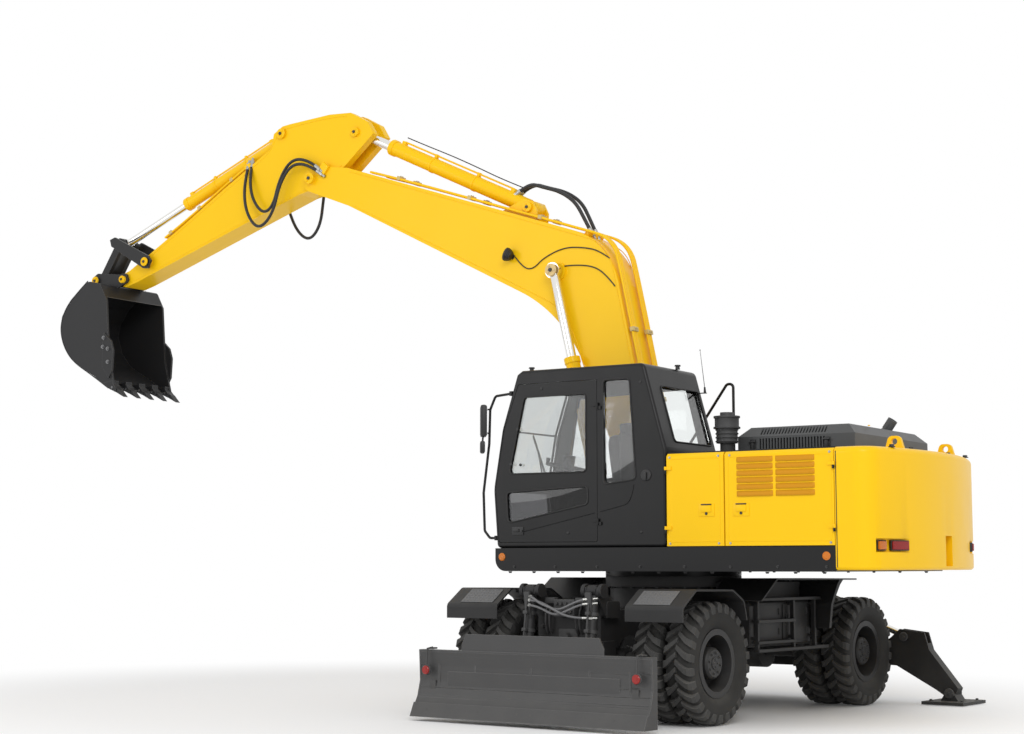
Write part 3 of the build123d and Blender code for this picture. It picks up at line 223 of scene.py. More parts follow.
groups = {"drift": makeColorDrift(), "dust": makeSettledDust(), "wear": makeEdgeWear(),
          "rough": makeRoughSpread(), "grain": makeGrain()}


def useGroup(tree, kind, **values):
    node = tree.nodes.new("ShaderNodeGroup")
    node.node_tree = groups[kind]
    for label, value in values.items():
        feed(tree, value, node.inputs[label])
    return node.outputs


def startMaterial(name):
    material = bpy.data.materials.new(name)
    material.use_nodes = True
    return material, material.node_tree, material.node_tree.nodes["Principled BSDF"]


socketNames = {"specular": "Specular IOR Level", "metal": "Metallic", "coat": "Coat Weight",
               "coatRough": "Coat Roughness", "sheen": "Sheen Weight"}


def makeFinish(name, color, roughness=0.4, drift=0.08, driftScale=1.5, spread=0.12, dust=0.0, dustTop=1.3,
               dustColor=(0.21, 0.2, 0.18), wear=0.0, worn=(0.25, 0.25, 0.26), grain=60, depth=0.0004,
               **sockets):
    material, tree, shader = startMaterial(name)
    tone = useGroup(tree, "drift", Color=color, Drift=drift, Scale=driftScale)["Color"]
    if wear:
        tone = useGroup(tree, "wear", Color=tone, Worn=worn, Amount=wear)["Color"]
    rough = {"Roughness": roughness, "Spread": spread}
    if dust:
        laid = useGroup(tree, "dust", Color=tone, Dust=dustColor, Amount=dust, Top=dustTop)
        tone, rough["Dust"] = laid["Color"], laid["Mask"]
    feed(tree, tone, shader.inputs["Base Color"])
    feed(tree, useGroup(tree, "rough", **rough)["Roughness"], shader.inputs["Roughness"])
    bump = tree.nodes.new("ShaderNodeBump")
    feed(tree, depth, bump.inputs["Distance"])
    feed(tree, 0.6, bump.inputs["Strength"])
    feed(tree, useGroup(tree, "grain", Scale=grain)["Height"], bump.inputs["Height"])
    feed(tree, bump.outputs[0], shader.inputs["Normal"])
    for label, value in sockets.items():
        feed(tree, value, shader.inputs[socketNames[label]])
    return material


def makeGlassFinish(name, color):
    # tinted sheet, its tint drifting a little
    material, tree, shader = startMaterial(name)
    for label, value in (("Transmission Weight", 1), ("IOR", 1.45), ("Metallic", 0), ("Roughness", 0)):
        feed(tree, value, shader.inputs[label])
    tone = useGroup(tree, "drift", Color=color, Drift=0.04, Scale=3.0)["Color"]
    feed(tree, tone, shader.inputs["Base Color"])
    return material


finishLooks = {
    "yellowPaint": dict(color=(0.96, 0.575, 0.006), roughness=0.36, drift=0.05, grain=90, depth=0.0003,
                        specular=0.12, coat=0.12, coatRough=0.15),
    # darker, more orange copy of the yellow paint: painted shade of the slats, which tilt downwards
    "louvreShadePaint": dict(color=(0.62, 0.27, 0.01), roughness=0.42, specular=0.15),
    "cabPaint": dict(color=(0.007, 0.007, 0.0075), roughness=0.36, dust=0.03, grain=110, depth=0.0003,
                     specular=0.28),
    "hoodPaint": dict(color=(0.075, 0.077, 0.078), roughness=0.45, dust=0.1, grain=240, specular=0.3),
    "chassisPaint": dict(color=(0.016, 0.016, 0.017), roughness=0.5, dust=0.5, wear=0.25,
                         worn=(0.09, 0.09, 0.09), grain=120, depth=0.0006, specular=0.3),
    "bladePaint": dict(color=(0.04, 0.04, 0.041), roughness=0.5, drift=0.15, dust=0.35, wear=0.5,
                       worn=(0.17, 0.17, 0.17), grain=100, depth=0.0006),
    "bucketPaint": dict(color=(0.02, 0.02, 0.021), roughness=0.45, drift=0.15, wear=0.5,
                        worn=(0.13, 0.13, 0.13), grain=80, depth=0.0008, specular=0.3),
    "castIron": dict(color=(0.04, 0.04, 0.041), roughness=0.58, dust=0.5, grain=150, depth=0.0012),
    "wornSteel": dict(color=(0.16, 0.16, 0.165), roughness=0.45, drift=0.3, driftScale=9.0, wear=0.6,
                      worn=(0.4, 0.4, 0.41), grain=70, depth=0.001, metal=0.7),
    "chrome": dict(color=(0.78, 0.77, 0.74), roughness=0.14, drift=0.03, spread=0.05, grain=300,
                   depth=0.00005, metal=1),
    # carcass rubber darker than the lugs' rubber: painted shade of the grooves between the lugs, with
    # settled dust on top
    "tyreRubberGrooveShade": dict(color=(0.018, 0.018, 0.018), roughness=0.72, drift=0.2, driftScale=6.0, dust=0.5,
                       dustTop=1.6, grain=220, depth=0.0008, specular=0.25),
    "treadRubber": dict(color=(0.045, 0.045, 0.045), roughness=0.7, drift=0.3, driftScale=9.0, dust=0.6,
                        dustTop=1.6, wear=0.3, worn=(0.13, 0.13, 0.13), grain=180, depth=0.0008,
                        specular=0.25),
    "hoseRubber": dict(color=(0.014, 0.014, 0.015), roughness=0.5, grain=350, depth=0.0003),
    "rimPaint": dict(color=(0.018, 0.018, 0.019), roughness=0.42, dust=0.3, wear=0.3,
                     worn=(0.12, 0.12, 0.12), specular=0.3),
    "cabTrim": dict(color=(0.05, 0.05, 0.055), roughness=0.65, grain=500),
    "zinc": dict(color=(0.42, 0.42, 0.4), roughness=0.35, metal=0.9),
    "blackMetal": dict(color=(0.009, 0.009, 0.0095), roughness=0.45, wear=0.15, worn=(0.08, 0.08, 0.08),
                       grain=160, depth=0.0003),
    # yellow clamps made paler and greyer: painted highlight; the rubbed edges are wear
    "clampHighlightPaint": dict(color=(0.62, 0.46, 0.16), roughness=0.45, drift=0.3, driftScale=9.0, wear=0.4,
                       worn=(0.3, 0.28, 0.24), grain=140),
    "pinPaint": dict(color=(0.7, 0.5, 0.2), drift=0.15, wear=0.4, worn=(0.5, 0.48, 0.42), grain=120),
    "rubberSeal": dict(color=(0.012, 0.012, 0.012), roughness=0.62, grain=400, depth=0.0002),
    "seatFabric": dict(color=(0.055, 0.057, 0.062), roughness=0.92, drift=0.12, driftScale=20.0, grain=1400,
                       depth=0.0005, sheen=0.35, specular=0.1),
    "amberLens": dict(color=(0.62, 0.17, 0.005), roughness=0.12, drift=0.05, grain=500),
    "redLens": dict(color=(0.3, 0.012, 0.01), roughness=0.14, drift=0.1, grain=420, depth=0.0006),
    "lampLens": dict(color=(0.62, 0.63, 0.62), roughness=0.08, drift=0.1, grain=300, depth=0.0008,
                     metal=0.5),
    "mirrorGlass": dict(color=(0.82, 0.83, 0.84), roughness=0.03, drift=0.02, spread=0.01, grain=40,
                        depth=0.00002, metal=1),
    "braidedHose": dict(color=(0.16, 0.16, 0.165), roughness=0.5, drift=0.5, driftScale=180.0, grain=900,
                        depth=0.0008, metal=0.3),
    "treadPlate": dict(color=(0.13, 0.13, 0.132), roughness=0.7, drift=0.4, driftScale=60.0, grain=700,
                       depth=0.002),
}
glassTints = {"clearGlass": (0.93, 0.95, 0.945), "darkGlass": (0.1, 0.1, 0.105),
              "doorGlass": (0.54, 0.56, 0.56), "hazyGlass": (0.8, 0.81, 0.81)}
finishes = {name: makeFinish(name, **look) for name, look in finishLooks.items()}
finishes.update({name: makeGlassFinish(name, tint) for name, tint in glassTints.items()})
print("finishes made")

nodeFinish = {
    "yellowPaint": ["boom", "arm", "boom_barrels", "arm_barrel", "bucket_barrel", "left_front_door",
                    "left_rear_door", "right_door", "counterweight", "right_boxes"],
    "cabPaint": ["cab_shell", "cab_door", "house_deck", "handrails", "right_rail", "body_frames"],
    "hoodPaint": ["engine_hood"],
    "bladePaint": ["dozer_blade"],
    "bucketPaint": ["bucket", "rocker", "h_link"],
    "castIron": ["engine", "knuckle_left", "knuckle_right", "front_axle", "rear_axle", "drive_line",
                 "tie_rod", "slew_ring", "air_and_exhaust", "swing_and_valves"],
    "chrome": ["boom_rods", "arm_rod", "bucket_rod", "blade_rods", "leg_rod_left", "leg_rod_right"],
    "cabTrim": ["cab_interior"],
}
finishOf = {node: finish for finish, members in nodeFinish.items() for node in members}
edgeLook = {"weld": 0.0001, "width": 0.006, "segments": 2, "angle": math.radians(32),
            "leftSharp": ["dozer_blade", "bucket", "cab_door", "cab_shell"]}
startFinish = {"tyres": "tyreRubberGrooveShade", "rims": "rimPaint"}      # by the first word of the node's name
for node, item in frame["nodes"].items():
    kind = startFinish.get(node.split("_")[0], "chassisPaint")
    item.data.materials.clear()
    item.data.materials.append(finishes[finishOf.get(node, kind)])
    weld = item.modifiers.new("weld", "WELD")
    weld.merge_threshold = edgeLook["weld"]
    if node in edgeLook["leftSharp"]:
        continue
    bevel = item.modifiers.new("bevel", "BEVEL")
    bevel.width, bevel.segments = edgeLook["width"], edgeLook["segments"]
    bevel.limit_method, bevel.angle_limit = "ANGLE", edgeLook["angle"]
    bevel.use_clamp_overlap = True
print("frame dressed")


# Small shapes, all in metres, gathered in one mesh for each piece
def keep(name, shape, finish, body="house", place=house, crease=32):
    mesh = bpy.data.meshes.new(name)
    bmesh.ops.recalc_face_normals(shape, faces=shape.faces)
    shape.to_mesh(mesh)
    shape.free()
    mesh.polygons.foreach_set("use_smooth", [True] * len(mesh.polygons))
    mesh.set_sharp_from_angle(angle=math.radians(crease))
    item = bpy.data.objects.new(name, mesh)
    item.matrix_world = place
    item.data.materials.append(finishes[finish])
    bpy.context.scene.collection.objects.link(item)
    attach(item, body)
    return item


def facing(direction):
    return Vector(direction).to_track_quat("Z", "Y").to_matrix().to_4x4()


def addBox(shape, middle, size, edge=0.004, turn=Matrix.Identity(4)):
    place = Matrix.Translation(middle) @ turn @ Matrix.Diagonal((*size, 1))
    made = bmesh.ops.create_cube(shape, size=1, matrix=place)
    if edge:
        edges = list(dict.fromkeys(e for v in made["verts"] for e in v.link_edges))
        bmesh.ops.bevel(shape, geom=edges, offset=edge, segments=2, profile=0.6, affect="EDGES",
                        clamp_overlap=True)


def addRod(shape, start, end, radius, tip=None, sides=16):
    start, end = Vector(start), Vector(end)
    place = Matrix.Translation((start + end) / 2) @ facing(end - start)
    bmesh.ops.create_cone(shape, cap_ends=True, segments=sides, radius1=radius,
                          radius2=radius if tip is None else tip, depth=(end - start).length, matrix=place)


def addBolt(shape, middle, direction, radius=0.012):
    # washer and hexagon head
    middle, direction = Vector(middle), Vector(direction).normalized()
    seat = middle + direction * radius * 0.3
    addRod(shape, middle, seat, radius * 1.35, sides=14)
    addRod(shape, seat, middle + direction * radius * 1.1, radius, radius * 0.92, 6)


def addDisc(shape, middle, direction, radius, thick, edge=0.004):
    middle, direction = Vector(middle), Vector(direction).normalized()
    rim = middle + direction * (thick - edge)
    addRod(shape, middle, rim, radius, sides=32)
    addRod(shape, rim, middle + direction * thick, radius, radius - edge, 32)


def ring(count, radius, start=0.0):
    for k in range(count):
        turn = start + 2 * math.pi * k / count
        yield radius * math.cos(turn), radius * math.sin(turn)


def addPinCap(shape, middle, side, radius):
    # round retaining plate over a pin's end, on the left (+1) or the right (-1)
    middle = Vector(middle)
    addDisc(shape, middle, (0, side, 0), radius, 0.014)
    for x, z in ring(3, radius * 0.62, 0.5):
        addBolt(shape, middle + Vector((x, side * 0.013, z)), (0, side, 0), radius * 0.17)


def addRoll(shape, profile, steps, middle=0):
    # closed ring turned about the Y axis from (y, r) points, its middle at some y
    rows = []
    for x, z in ring(steps, 1.0):
        rows.append([shape.verts.new((x * r, middle + y, z * r)) for y, r in profile])
    for near, far in zip(rows, rows[1:] + rows[:1]):
        for k in range(len(profile)):
            n = (k + 1) % len(profile)
            shape.faces.new((near[k], near[n], far[n], far[k]))


def smoothCurve(name, routes, radius, finish, body="house", place=house, cyclic=False, order=3):
    data = bpy.data.curves.new(name, "CURVE")
    data.dimensions, data.bevel_depth, data.bevel_resolution = "3D", radius, 3
    data.resolution_u, data.use_fill_caps = 8, True
    for route in routes:
        line = data.splines.new("NURBS")
        line.points.add(len(route) - 1)
        for point, spot in zip(line.points, route):
            point.co = (*spot, 1)
        line.order_u = order
        line.use_endpoint_u = not cyclic
        line.use_cyclic_u = cyclic
    item = bpy.data.objects.new(name, data)
    item.matrix_world = place
    item.data.materials.append(finishes[finish])
    bpy.context.scene.collection.objects.link(item)
    if body:
        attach(item, body)
    return item


def rounded(outline, radius, steps=5):
    # outline with its corners turned into arcs
    found = []
    count = len(outline)
    for k, corner in enumerate(outline):
        corner = Vector(corner)
        before = (Vector(outline[k - 1]) - corner)
        after = (Vector(outline[(k + 1) % count]) - corner)
        half = before.angle(after) / 2
        reach = min(radius / math.tan(half), before.length * 0.45, after.length * 0.45)
        first, last = corner + before.normalized() * reach, corner + after.normalized() * reach
        for step in range(steps + 1):
            t = step / steps
            found.append(first * (1 - t) ** 2 + corner * 2 * t * (1 - t) + last * t ** 2)
    return found


def addPane(shape, outline, spot, thick):
    # flat sheet over an outline; spot turns (u, v, depth) into a place
    front = [shape.verts.new(spot(u, v, thick / 2)) for u, v in outline]
    back = [shape.verts.new(spot(u, v, -thick / 2)) for u, v in outline]
    shape.faces.new(front)
    shape.faces.new(list(reversed(back)))
    for k in range(len(front)):
        n = (k + 1) % len(front)
        shape.faces.new((front[k], back[k], back[n], front[n]))


# Tyres: a carcass with chevron lugs, two on each wheel
tyreLook = {"steps": 84, "lugs": 26, "spacing": 0.31, "lean": 0.17, "twins": 2,
            "carcass": [(0.0895, 0.263), (0.0895, 0.292), (0.11, 0.315), (0.13, 0.36), (0.1355, 0.4),
                        (0.1335, 0.43), (0.126, 0.458), (0.112, 0.476), (0.085, 0.487), (0.045, 0.4915)],
            # along a lug: foot (y, r), crest (y, r), lean from 0 to 1, half width
            "lug": [((-0.004, 0.49), (0.0, 0.5213), 0.0, 0.019),
                    ((0.04, 0.49), (0.04, 0.5213), 0.42, 0.021),
                    ((0.08, 0.486), (0.08, 0.5195), 0.78, 0.024),
                    ((0.104, 0.476), (0.11, 0.513), 0.94, 0.027),
                    ((0.118, 0.462), (0.132, 0.492), 1.0, 0.03),
                    ((0.124, 0.445), (0.1365, 0.464), 1.02, 0.03),
                    ((0.13, 0.425), (0.1368, 0.43), 1.03, 0.025)]}
wheelNames = ["front_left", "front_right", "rear_left", "rear_right"]


def addLug(shape, middleY, side, angle):
    rows = []
    for foot, crest, lean, half in tyreLook["lug"]:
        row = []
        for (y, r), spread in ((foot, 1.25), (crest, 1.0), (crest, -1.0), (foot, -1.25)):
            turn = angle - lean * tyreLook["lean"] + spread * half / r
            row.append(shape.verts.new((r * math.cos(turn), middleY + side * y, r * math.sin(turn))))
        rows.append(row)
    for near, far in zip(rows, rows[1:]):
        for k in range(3):
            shape.faces.new((near[k], near[k + 1], far[k + 1], far[k]))
    shape.faces.new(rows[0])
    shape.faces.new(rows[-1])


def makeTyres(wheel):
    place = Matrix.Translation(jointPlace("spin_" + wheel)) @ chassis.to_3x3().to_4x4()
    inward = -1 if wheel.endswith("left") else 1
    half = tyreLook["carcass"]
    profile = [(y, r) for y, r in half] + [(0, 0.4925)] + [(-y, r) for y, r in reversed(half)]
    carcass, lugs = bmesh.new(), bmesh.new()
    for twin in range(tyreLook["twins"]):
        middleY = inward * twin * tyreLook["spacing"]
        addRoll(carcass, profile, tyreLook["steps"], middleY)
        for k in range(tyreLook["lugs"]):
            for side in (1, -1):
                addLug(lugs, middleY, side, 2 * math.pi * (k + 0.25 * side) / tyreLook["lugs"])
    # carcass in the darker rubber, which paints the shade of the grooves; the lugs keep the rubber's own
    # tone
    item = keep("tyre_carcass_" + wheel, carcass, "tyreRubberGrooveShade", "wheels_" + wheel, place)
    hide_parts("tyres_" + wheel)
    keep("tyre_lugs_" + wheel, lugs, "treadRubber", "wheels_" + wheel, place, crease=20)


# Wheel nuts, hub bolts, lock ring and valve; out is the distance from the outer tyre's middle
wheelLook = {"capOut": 0.078, "capBolts": (8, 0.088, 0.01), "nutOut": -0.128, "nuts": (10, 0.182, 0.015),
             "ringOut": 0.0935, "ringR": 0.2795, "valve": ((0.2, 0.03), (0.235, 0.085))}


def makeWheelTrim(wheel):
    place = Matrix.Translation(jointPlace("spin_" + wheel)) @ chassis.to_3x3().to_4x4()
    out = 1 if wheel.endswith("left") else -1
    shape = bmesh.new()
    for (count, radius, size), reach in ((wheelLook["capBolts"], wheelLook["capOut"]),
                                         (wheelLook["nuts"], wheelLook["nutOut"])):
        for x, z in ring(count, radius, 0.2):
            addBolt(shape, (x, out * reach, z), (0, out, 0), size)
    addDisc(shape, (0, out * wheelLook["capOut"], 0), (0, out, 0), 0.055, 0.008)
    for k in range(4):
        turn = k * 1.57
        addBolt(shape, (0.03 * math.cos(turn), out * (wheelLook["capOut"] + 0.008), 0.03 * math.sin(turn)),
                (0, out, 0), 0.007)
    (r0, y0), (r1, y1) = wheelLook["valve"]
    addRod(shape, (r0, out * y0, 0), (r1, out * y1, 0), 0.006)
    section = [(wheelLook["ringOut"] * out + 0.006 * math.cos(a), wheelLook["ringR"] + 0.008 * math.sin(a))
               for a in (k * math.pi / 4 for k in range(8))]
    addRoll(shape, section, 64)
    keep("wheel_trim_" + wheel, shape, "rimPaint", "wheels_" + wheel, place)


for wheel in wheelNames:
    makeTyres(wheel)
    makeWheelTrim(wheel)
print("wheels made")


# Cab glass and its rubber seals: outlines of (x, z) on the sides, spans of y and z across
def slopeX(z, low, high):
    # the x of a sloped wall at a height, between two of its points (x, z)
    return low[0] + (high[0] - low[0]) * (z - low[1]) / (high[1] - low[1])


glassLook = {"thick": 0.006, "corner": 0.045, "screenCorner": 0.002, "seal": 0.008, "sunk": 0.022,
             "proud": 0.002}
backWall = ((-0.59, 2.359), (-0.373, 3.142))
frontLow = ((1.196, 1.505), (1.238, 2.053))
frontMid = ((1.238, 2.053), (1.142, 2.606))
frontTop = ((1.142, 2.606), (0.975, 3.11))
leftWall, rightWall = (1.196, 1.221), (0.232, 0.211)      # y of the pane and of its seal
sidePanes = [
    ("door_upper", [(0.893, 2.896), (0.225, 2.896), (0.225, 2.186), (1.058, 2.187)], "doorGlass", "cab_door",
     leftWall),
    ("door_lower", [(1.085, 2.019), (0.208, 2.059), (0.209, 1.895), (1.067, 1.735)], "darkGlass", "cab_door",
     leftWall),
    ("quarter", [(0.047, 3.01), (-0.228, 3.009), (-0.288, 2.105), (0.044, 2.069)], "hazyGlass", "house",
     leftWall),
    ("right", [(1.04, 2.12), (0.9, 2.96), (-0.28, 2.99), (-0.42, 2.42), (-0.42, 2.12)], "clearGlass",
     "house", rightWall),
]
crossPanes = [("rear", (0.282, 1.01), (2.44, 2.95), backWall, -1),
              ("screen_lower", (0.272, 1.16), (1.7, 2.04), frontLow, 1),
              ("screen_middle", (0.272, 1.16), (2.09, 2.6), frontMid, 1),
              ("screen_upper", (0.272, 1.16), (2.602, 3.06), frontTop, 1)]


def makePane(name, loop, tint, body, spot, edge):
    shape = bmesh.new()
    addPane(shape, loop, spot, glassLook["thick"])
    keep("pane_" + name, shape, tint, body)
    smoothCurve("seal_" + name, [[edge(u, v) for u, v in loop]], glassLook["seal"], "rubberSeal", body,
                cyclic=True, order=2)


for name, outline, tint, body, (depth, face) in sidePanes:
    makePane(name, rounded(outline, glassLook["corner"]), tint, body, lambda x, z, d: (x, depth + d, z),
             lambda x, z: (x, face, z))
for name, (y0, y1), (z0, z1), wall, out in crossPanes:
    corner = glassLook["screenCorner" if out > 0 else "corner"]
    makePane(name, rounded([(y0, z0), (y1, z0), (y1, z1), (y0, z1)], corner), "clearGlass", "house",
             lambda y, z, d: (slopeX(z, *wall) - out * glassLook["sunk"] + d, y, z),
             lambda y, z: (slopeX(z, *wall) + out * glassLook["proud"], y, z))
print("glass made")


# Seat: crowned cushions with sewn channels and piping
seatLook = {"middleY": 0.715, "round": 0.42, "crown": 0.62, "piping": 0.0045, "seam": 0.42, "rings": 26,
            "steps": 96,
            # middle (x, y from the seat's middle, z), half sizes, lean of its face in degrees, channels
            "cushions": {"seat": ((0.33, 0.0, 1.952), (0.245, 0.245, 0.058), 0, (-0.42, 0.42)),
                         "backrest": ((0.1, 0.0, 2.27), (0.275, 0.225, 0.055), 82, (-0.45, 0.45)),
                         "headrest": ((0.058, 0.0, 2.585), (0.062, 0.135, 0.04), 82, ()),
                         "armrest_left": ((0.32, 0.325, 2.15), (0.16, 0.042, 0.022), 0, ()),
                         "armrest_right": ((0.32, -0.325, 2.15), (0.16, 0.042, 0.022), 0, ())}}


def cushionPoint(half, across, around, channels=()):
    def bent(value, power):
        return math.copysign(abs(value) ** power, value)
    rim = bent(math.cos(across), seatLook["round"])
    x = half[0] * rim * bent(math.cos(around), seatLook["round"])
    y = half[1] * rim * bent(math.sin(around), seatLook["round"])
    z = half[2] * bent(math.sin(across), seatLook["crown"])
    for channel in channels:
        z *= 1 - 0.16 * math.exp(-((y / half[1] - channel) / 0.05) ** 2)
    return Vector((x, y, z))


def makeCushion(name, middle, half, lean, channels):
    place = house @ Matrix.Translation((middle[0], seatLook["middleY"] + middle[1], middle[2]))
    place = place @ turned(-lean, "Y")
    rings, steps = seatLook["rings"], seatLook["steps"]
    shape = bmesh.new()
    rows = []
    for k in range(1, rings):
        across = math.pi * (k / rings - 0.5)
        rows.append([shape.verts.new(cushionPoint(half, across, 2 * math.pi * n / steps, channels))
                     for n in range(steps)])
    for near, far in zip(rows, rows[1:]):
        for n in range(steps):
            shape.faces.new((near[n], near[(n + 1) % steps], far[(n + 1) % steps], far[n]))
    shape.faces.new(rows[0])
    shape.faces.new(rows[-1])
    piece = keep("cushion_" + name, shape, "seatFabric", "house", place, crease=70)
    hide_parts("cab_interior")
    for turn, mark in ((seatLook["seam"], "_top"), (-seatLook["seam"], "_low")):
        loop = [cushionPoint(half, turn, 2 * math.pi * n / 48) * 1.004 for n in range(48)]
        smoothCurve("piping_" + name + mark, [loop], seatLook["piping"], "cabTrim", "house", place, True)


for name, values in seatLook["cushions"].items():
    makeCushion(name, *values)

# What stands round the seat: consoles, levers, column, pedals, screen and mat
deskLook = {"floor": 1.552, "lever": (0.5, 2.13), "wheel": (0.75, 2.268, 0.18), "wheelTilt": 12,
            "column": ((0.858, 1.56), (0.756, 2.25)), "screen": (0.96, 0.33, 2.33), "screenTilt": -12,
            "pedalTilt": -38}


def makeSeatFrame():
    middle = seatLook["middleY"]
    shape = bmesh.new()
    addBox(shape, (0.32, middle, 1.872), (0.44, 0.42, 0.035), 0.008)
    addBox(shape, (0.32, middle, 1.585), (0.4, 0.38, 0.05), 0.01)
    for k in range(6):
        wide = 0.36 if k % 2 else 0.32
        addBox(shape, (0.32, middle, 1.635 + 0.042 * k), (wide, wide, 0.04), 0.012)
    addBox(shape, (0.045, middle, 2.27), (0.03, 0.4, 0.56), 0.012)
    for side in (1, -1):
        y = middle + side * 0.325
        addBox(shape, (0.33, y, 2.05), (0.4, 0.085, 0.135), 0.02)
        addBox(shape, (0.2, y, 1.93), (0.09, 0.05, 0.14), 0.01)
        addBox(shape, (0.2, middle + side * 0.27, 1.93), (0.08, 0.13, 0.035), 0.008)
        addRod(shape, (0.058, middle + side * 0.05, 2.5), (0.058, middle + side * 0.05, 2.56), 0.007)
    keep("seat_frame", shape, "cabTrim")


def makeLevers():
    x, z = deskLook["lever"]
    for side, name in ((1, "left"), (-1, "right")):
        y = seatLook["middleY"] + side * 0.325
        shape = bmesh.new()
        for k in range(4):
            addRod(shape, (x, y, z - 0.015 + 0.012 * k), (x, y, z - 0.003 + 0.012 * k), 0.036 - 0.006 * k,
                   0.031 - 0.006 * k)
        addRod(shape, (x, y, z + 0.03), (x + 0.01, y, z + 0.085), 0.007)
        addRod(shape, (x + 0.01, y, z + 0.075), (x + 0.022, y, z + 0.15), 0.017, 0.021)
        addBox(shape, (x + 0.028, y, z + 0.168), (0.045, 0.048, 0.045), 0.014)
        for k in (-1, 1):
            addRod(shape, (x + 0.03, y + 0.011 * k, z + 0.188), (x + 0.03, y + 0.011 * k, z + 0.195), 0.006)
        keep("lever_" + name, shape, "cabTrim")


def makeColumn():
    middle = seatLook["middleY"]
    (x0, z0), (x1, z1) = deskLook["column"]
    shape = bmesh.new()
    addRod(shape, (x0, middle, z0), (x1, middle, z1), 0.045, 0.032)
    addBox(shape, (x0 - 0.01, middle, z0 + 0.04), (0.14, 0.13, 0.08), 0.015)
    addBox(shape, (x1 + 0.02, middle, z1 - 0.06), (0.1, 0.14, 0.11), 0.02)
    for side in (1, -1):
        addRod(shape, (x1 + 0.01, middle, z1 - 0.05), (x1 - 0.02, middle + side * 0.16, z1 - 0.02), 0.007,
               0.005)
        for x, y in ((0.98, middle + side * 0.07), (0.96, middle + side * 0.2)):
            addBox(shape, (x, y, 1.62), (0.09, 0.075, 0.012), 0.004, turned(deskLook["pedalTilt"], "Y"))
            addRod(shape, (x + 0.04, y, 1.56), (x + 0.01, y, 1.62), 0.008)
    keep("steering_column", shape, "cabTrim")
    x, z, radius = deskLook["wheel"]
    place = house @ Matrix.Translation((x, middle, z)) @ turned(-deskLook["wheelTilt"], "Y")
    loop = [(a, b, 0) for a, b in ring(24, radius * 1.01)]
    smoothCurve("steering_rim", [loop], 0.014, "cabTrim", "house", place, True)
    shape = bmesh.new()
    addDisc(shape, (0, 0, -0.02), (0, 0, 1), 0.045, 0.03, 0.008)
    for a, b in ring(3, radius, math.pi):
        addRod(shape, (0, 0, -0.008), (a, b, 0), 0.013, 0.009)
    addRod(shape, (radius * 0.7, radius * 0.7, 0.01), (radius * 0.7, radius * 0.7, 0.06), 0.016, 0.02)
    keep("steering_spokes", shape, "cabTrim", "house", place)


def makeCabDesk():
    x, y, z = deskLook["screen"]
    floor = deskLook["floor"]
    shape = bmesh.new()
    addBox(shape, (x, y, z), (0.035, 0.2, 0.15), 0.012, turned(deskLook["screenTilt"], "Y"))
    addRod(shape, (x + 0.01, y - 0.05, z - 0.2), (x, y, z - 0.06), 0.012)
    addBox(shape, (0.35, 0.305, 1.8), (1.05, 0.085, 0.48), 0.02)
    for k in range(6):
        addBox(shape, (0.05 + 0.1 * k, 0.305, 2.045), (0.07, 0.05, 0.014), 0.004)
    addBox(shape, (-0.42, 0.7, 1.95), (0.18, 0.8, 0.75), 0.03)
    addBox(shape, (0.62, 0.7, floor + 0.006), (0.95, 0.86, 0.012), 0.004)
    for k in range(16):
        addBox(shape, (0.62, 0.31 + 0.052 * k, floor + 0.015), (0.9, 0.016, 0.007), 0.002)
    for y in (0.45, 0.98):
        addBox(shape, (-0.3, y, 2.34), (0.05, 0.12, 0.07), 0.01)
    keep("cab_desk", shape, "cabTrim")
    shape = bmesh.new()
    addBox(shape, (x - 0.019, deskLook["screen"][1], z), (0.003, 0.165, 0.115), 0.001,
           turned(deskLook["screenTilt"], "Y"))
    keep("screen_glass", shape, "darkGlass")
    # sun blind rolled up under the roof, with its pull bar
    shape = bmesh.new()
    addRod(shape, (0.9, 0.33, 3.02), (0.9, 1.1, 3.02), 0.022)
    addBox(shape, (0.925, 0.715, 2.985), (0.012, 0.74, 0.025), 0.004)
    keep("sun_blind", shape, "cabTrim")


makeSeatFrame()
makeLevers()
makeColumn()
makeCabDesk()
print("cab fitted out")


# Pins of the working equipment: frame, (x, z), half width, radius, body
pinTable = [("boom_foot", house, (0.23, 1.88), 0.262, 0.08, "house"),
            ("boom_cylinder_foot", house, (0.62, 1.58), 0.347, 0.062, "house"),
            ("boom_cylinder_head", boomFrame, (2.35, 1.117), 0.332, 0.064, "boom"),
            ("arm_pin", boomFrame, (5.637, 0.0), 0.241, 0.062, "boom"),
            ("arm_cylinder_foot", boomFrame, (3.126, 1.386), 0.136, 0.052, "boom"),
            ("arm_cylinder_head", armFrame, (-0.686, 0.272), 0.174, 0.052, "arm"),
            ("bucket_cylinder_foot", armFrame, (0.287, 0.694), 0.176, 0.058, "arm"),
            ("rocker_pin", armFrame, (2.586, 0.051), 0.251, 0.052, "arm"),
            ("bucket_pin", armFrame, (3.01, 0.0), 0.221, 0.044, "arm"),
            ("bucket_link", bucketFrame, (0.425, 0.15), 0.218, 0.052, "bucket")]


def makePinCaps():
    for name, place, (x, z), half, radius, body in pinTable:
        middle = boomY if place is house else 0.0
        shape = bmesh.new()
        for side in (1, -1):
            addPinCap(shape, (x, middle + side * half, z), side, radius)
            addRod(shape, (x + radius * 0.3, middle + side * (half + 0.012), z - radius * 0.3),
                   (x + radius * 0.3, middle + side * (half + 0.028), z - radius * 0.3), 0.005, 0.003, 8)
        finish = "pinPaint" if name == "boom_cylinder_head" else "yellowPaint"
        keep("pin_caps_" + name, shape, finish, body, place)
        shape = bmesh.new()
        for side in (1, -1):
            end = (x, middle + side * (half + 0.01), z)
            addRod(shape, end, Vector(end) + Vector((0, side * 0.016, 0)), radius * 0.34, radius * 0.28, 24)
        keep("pin_ends_" + name, shape, "castIron", body, place)


makePinCaps()


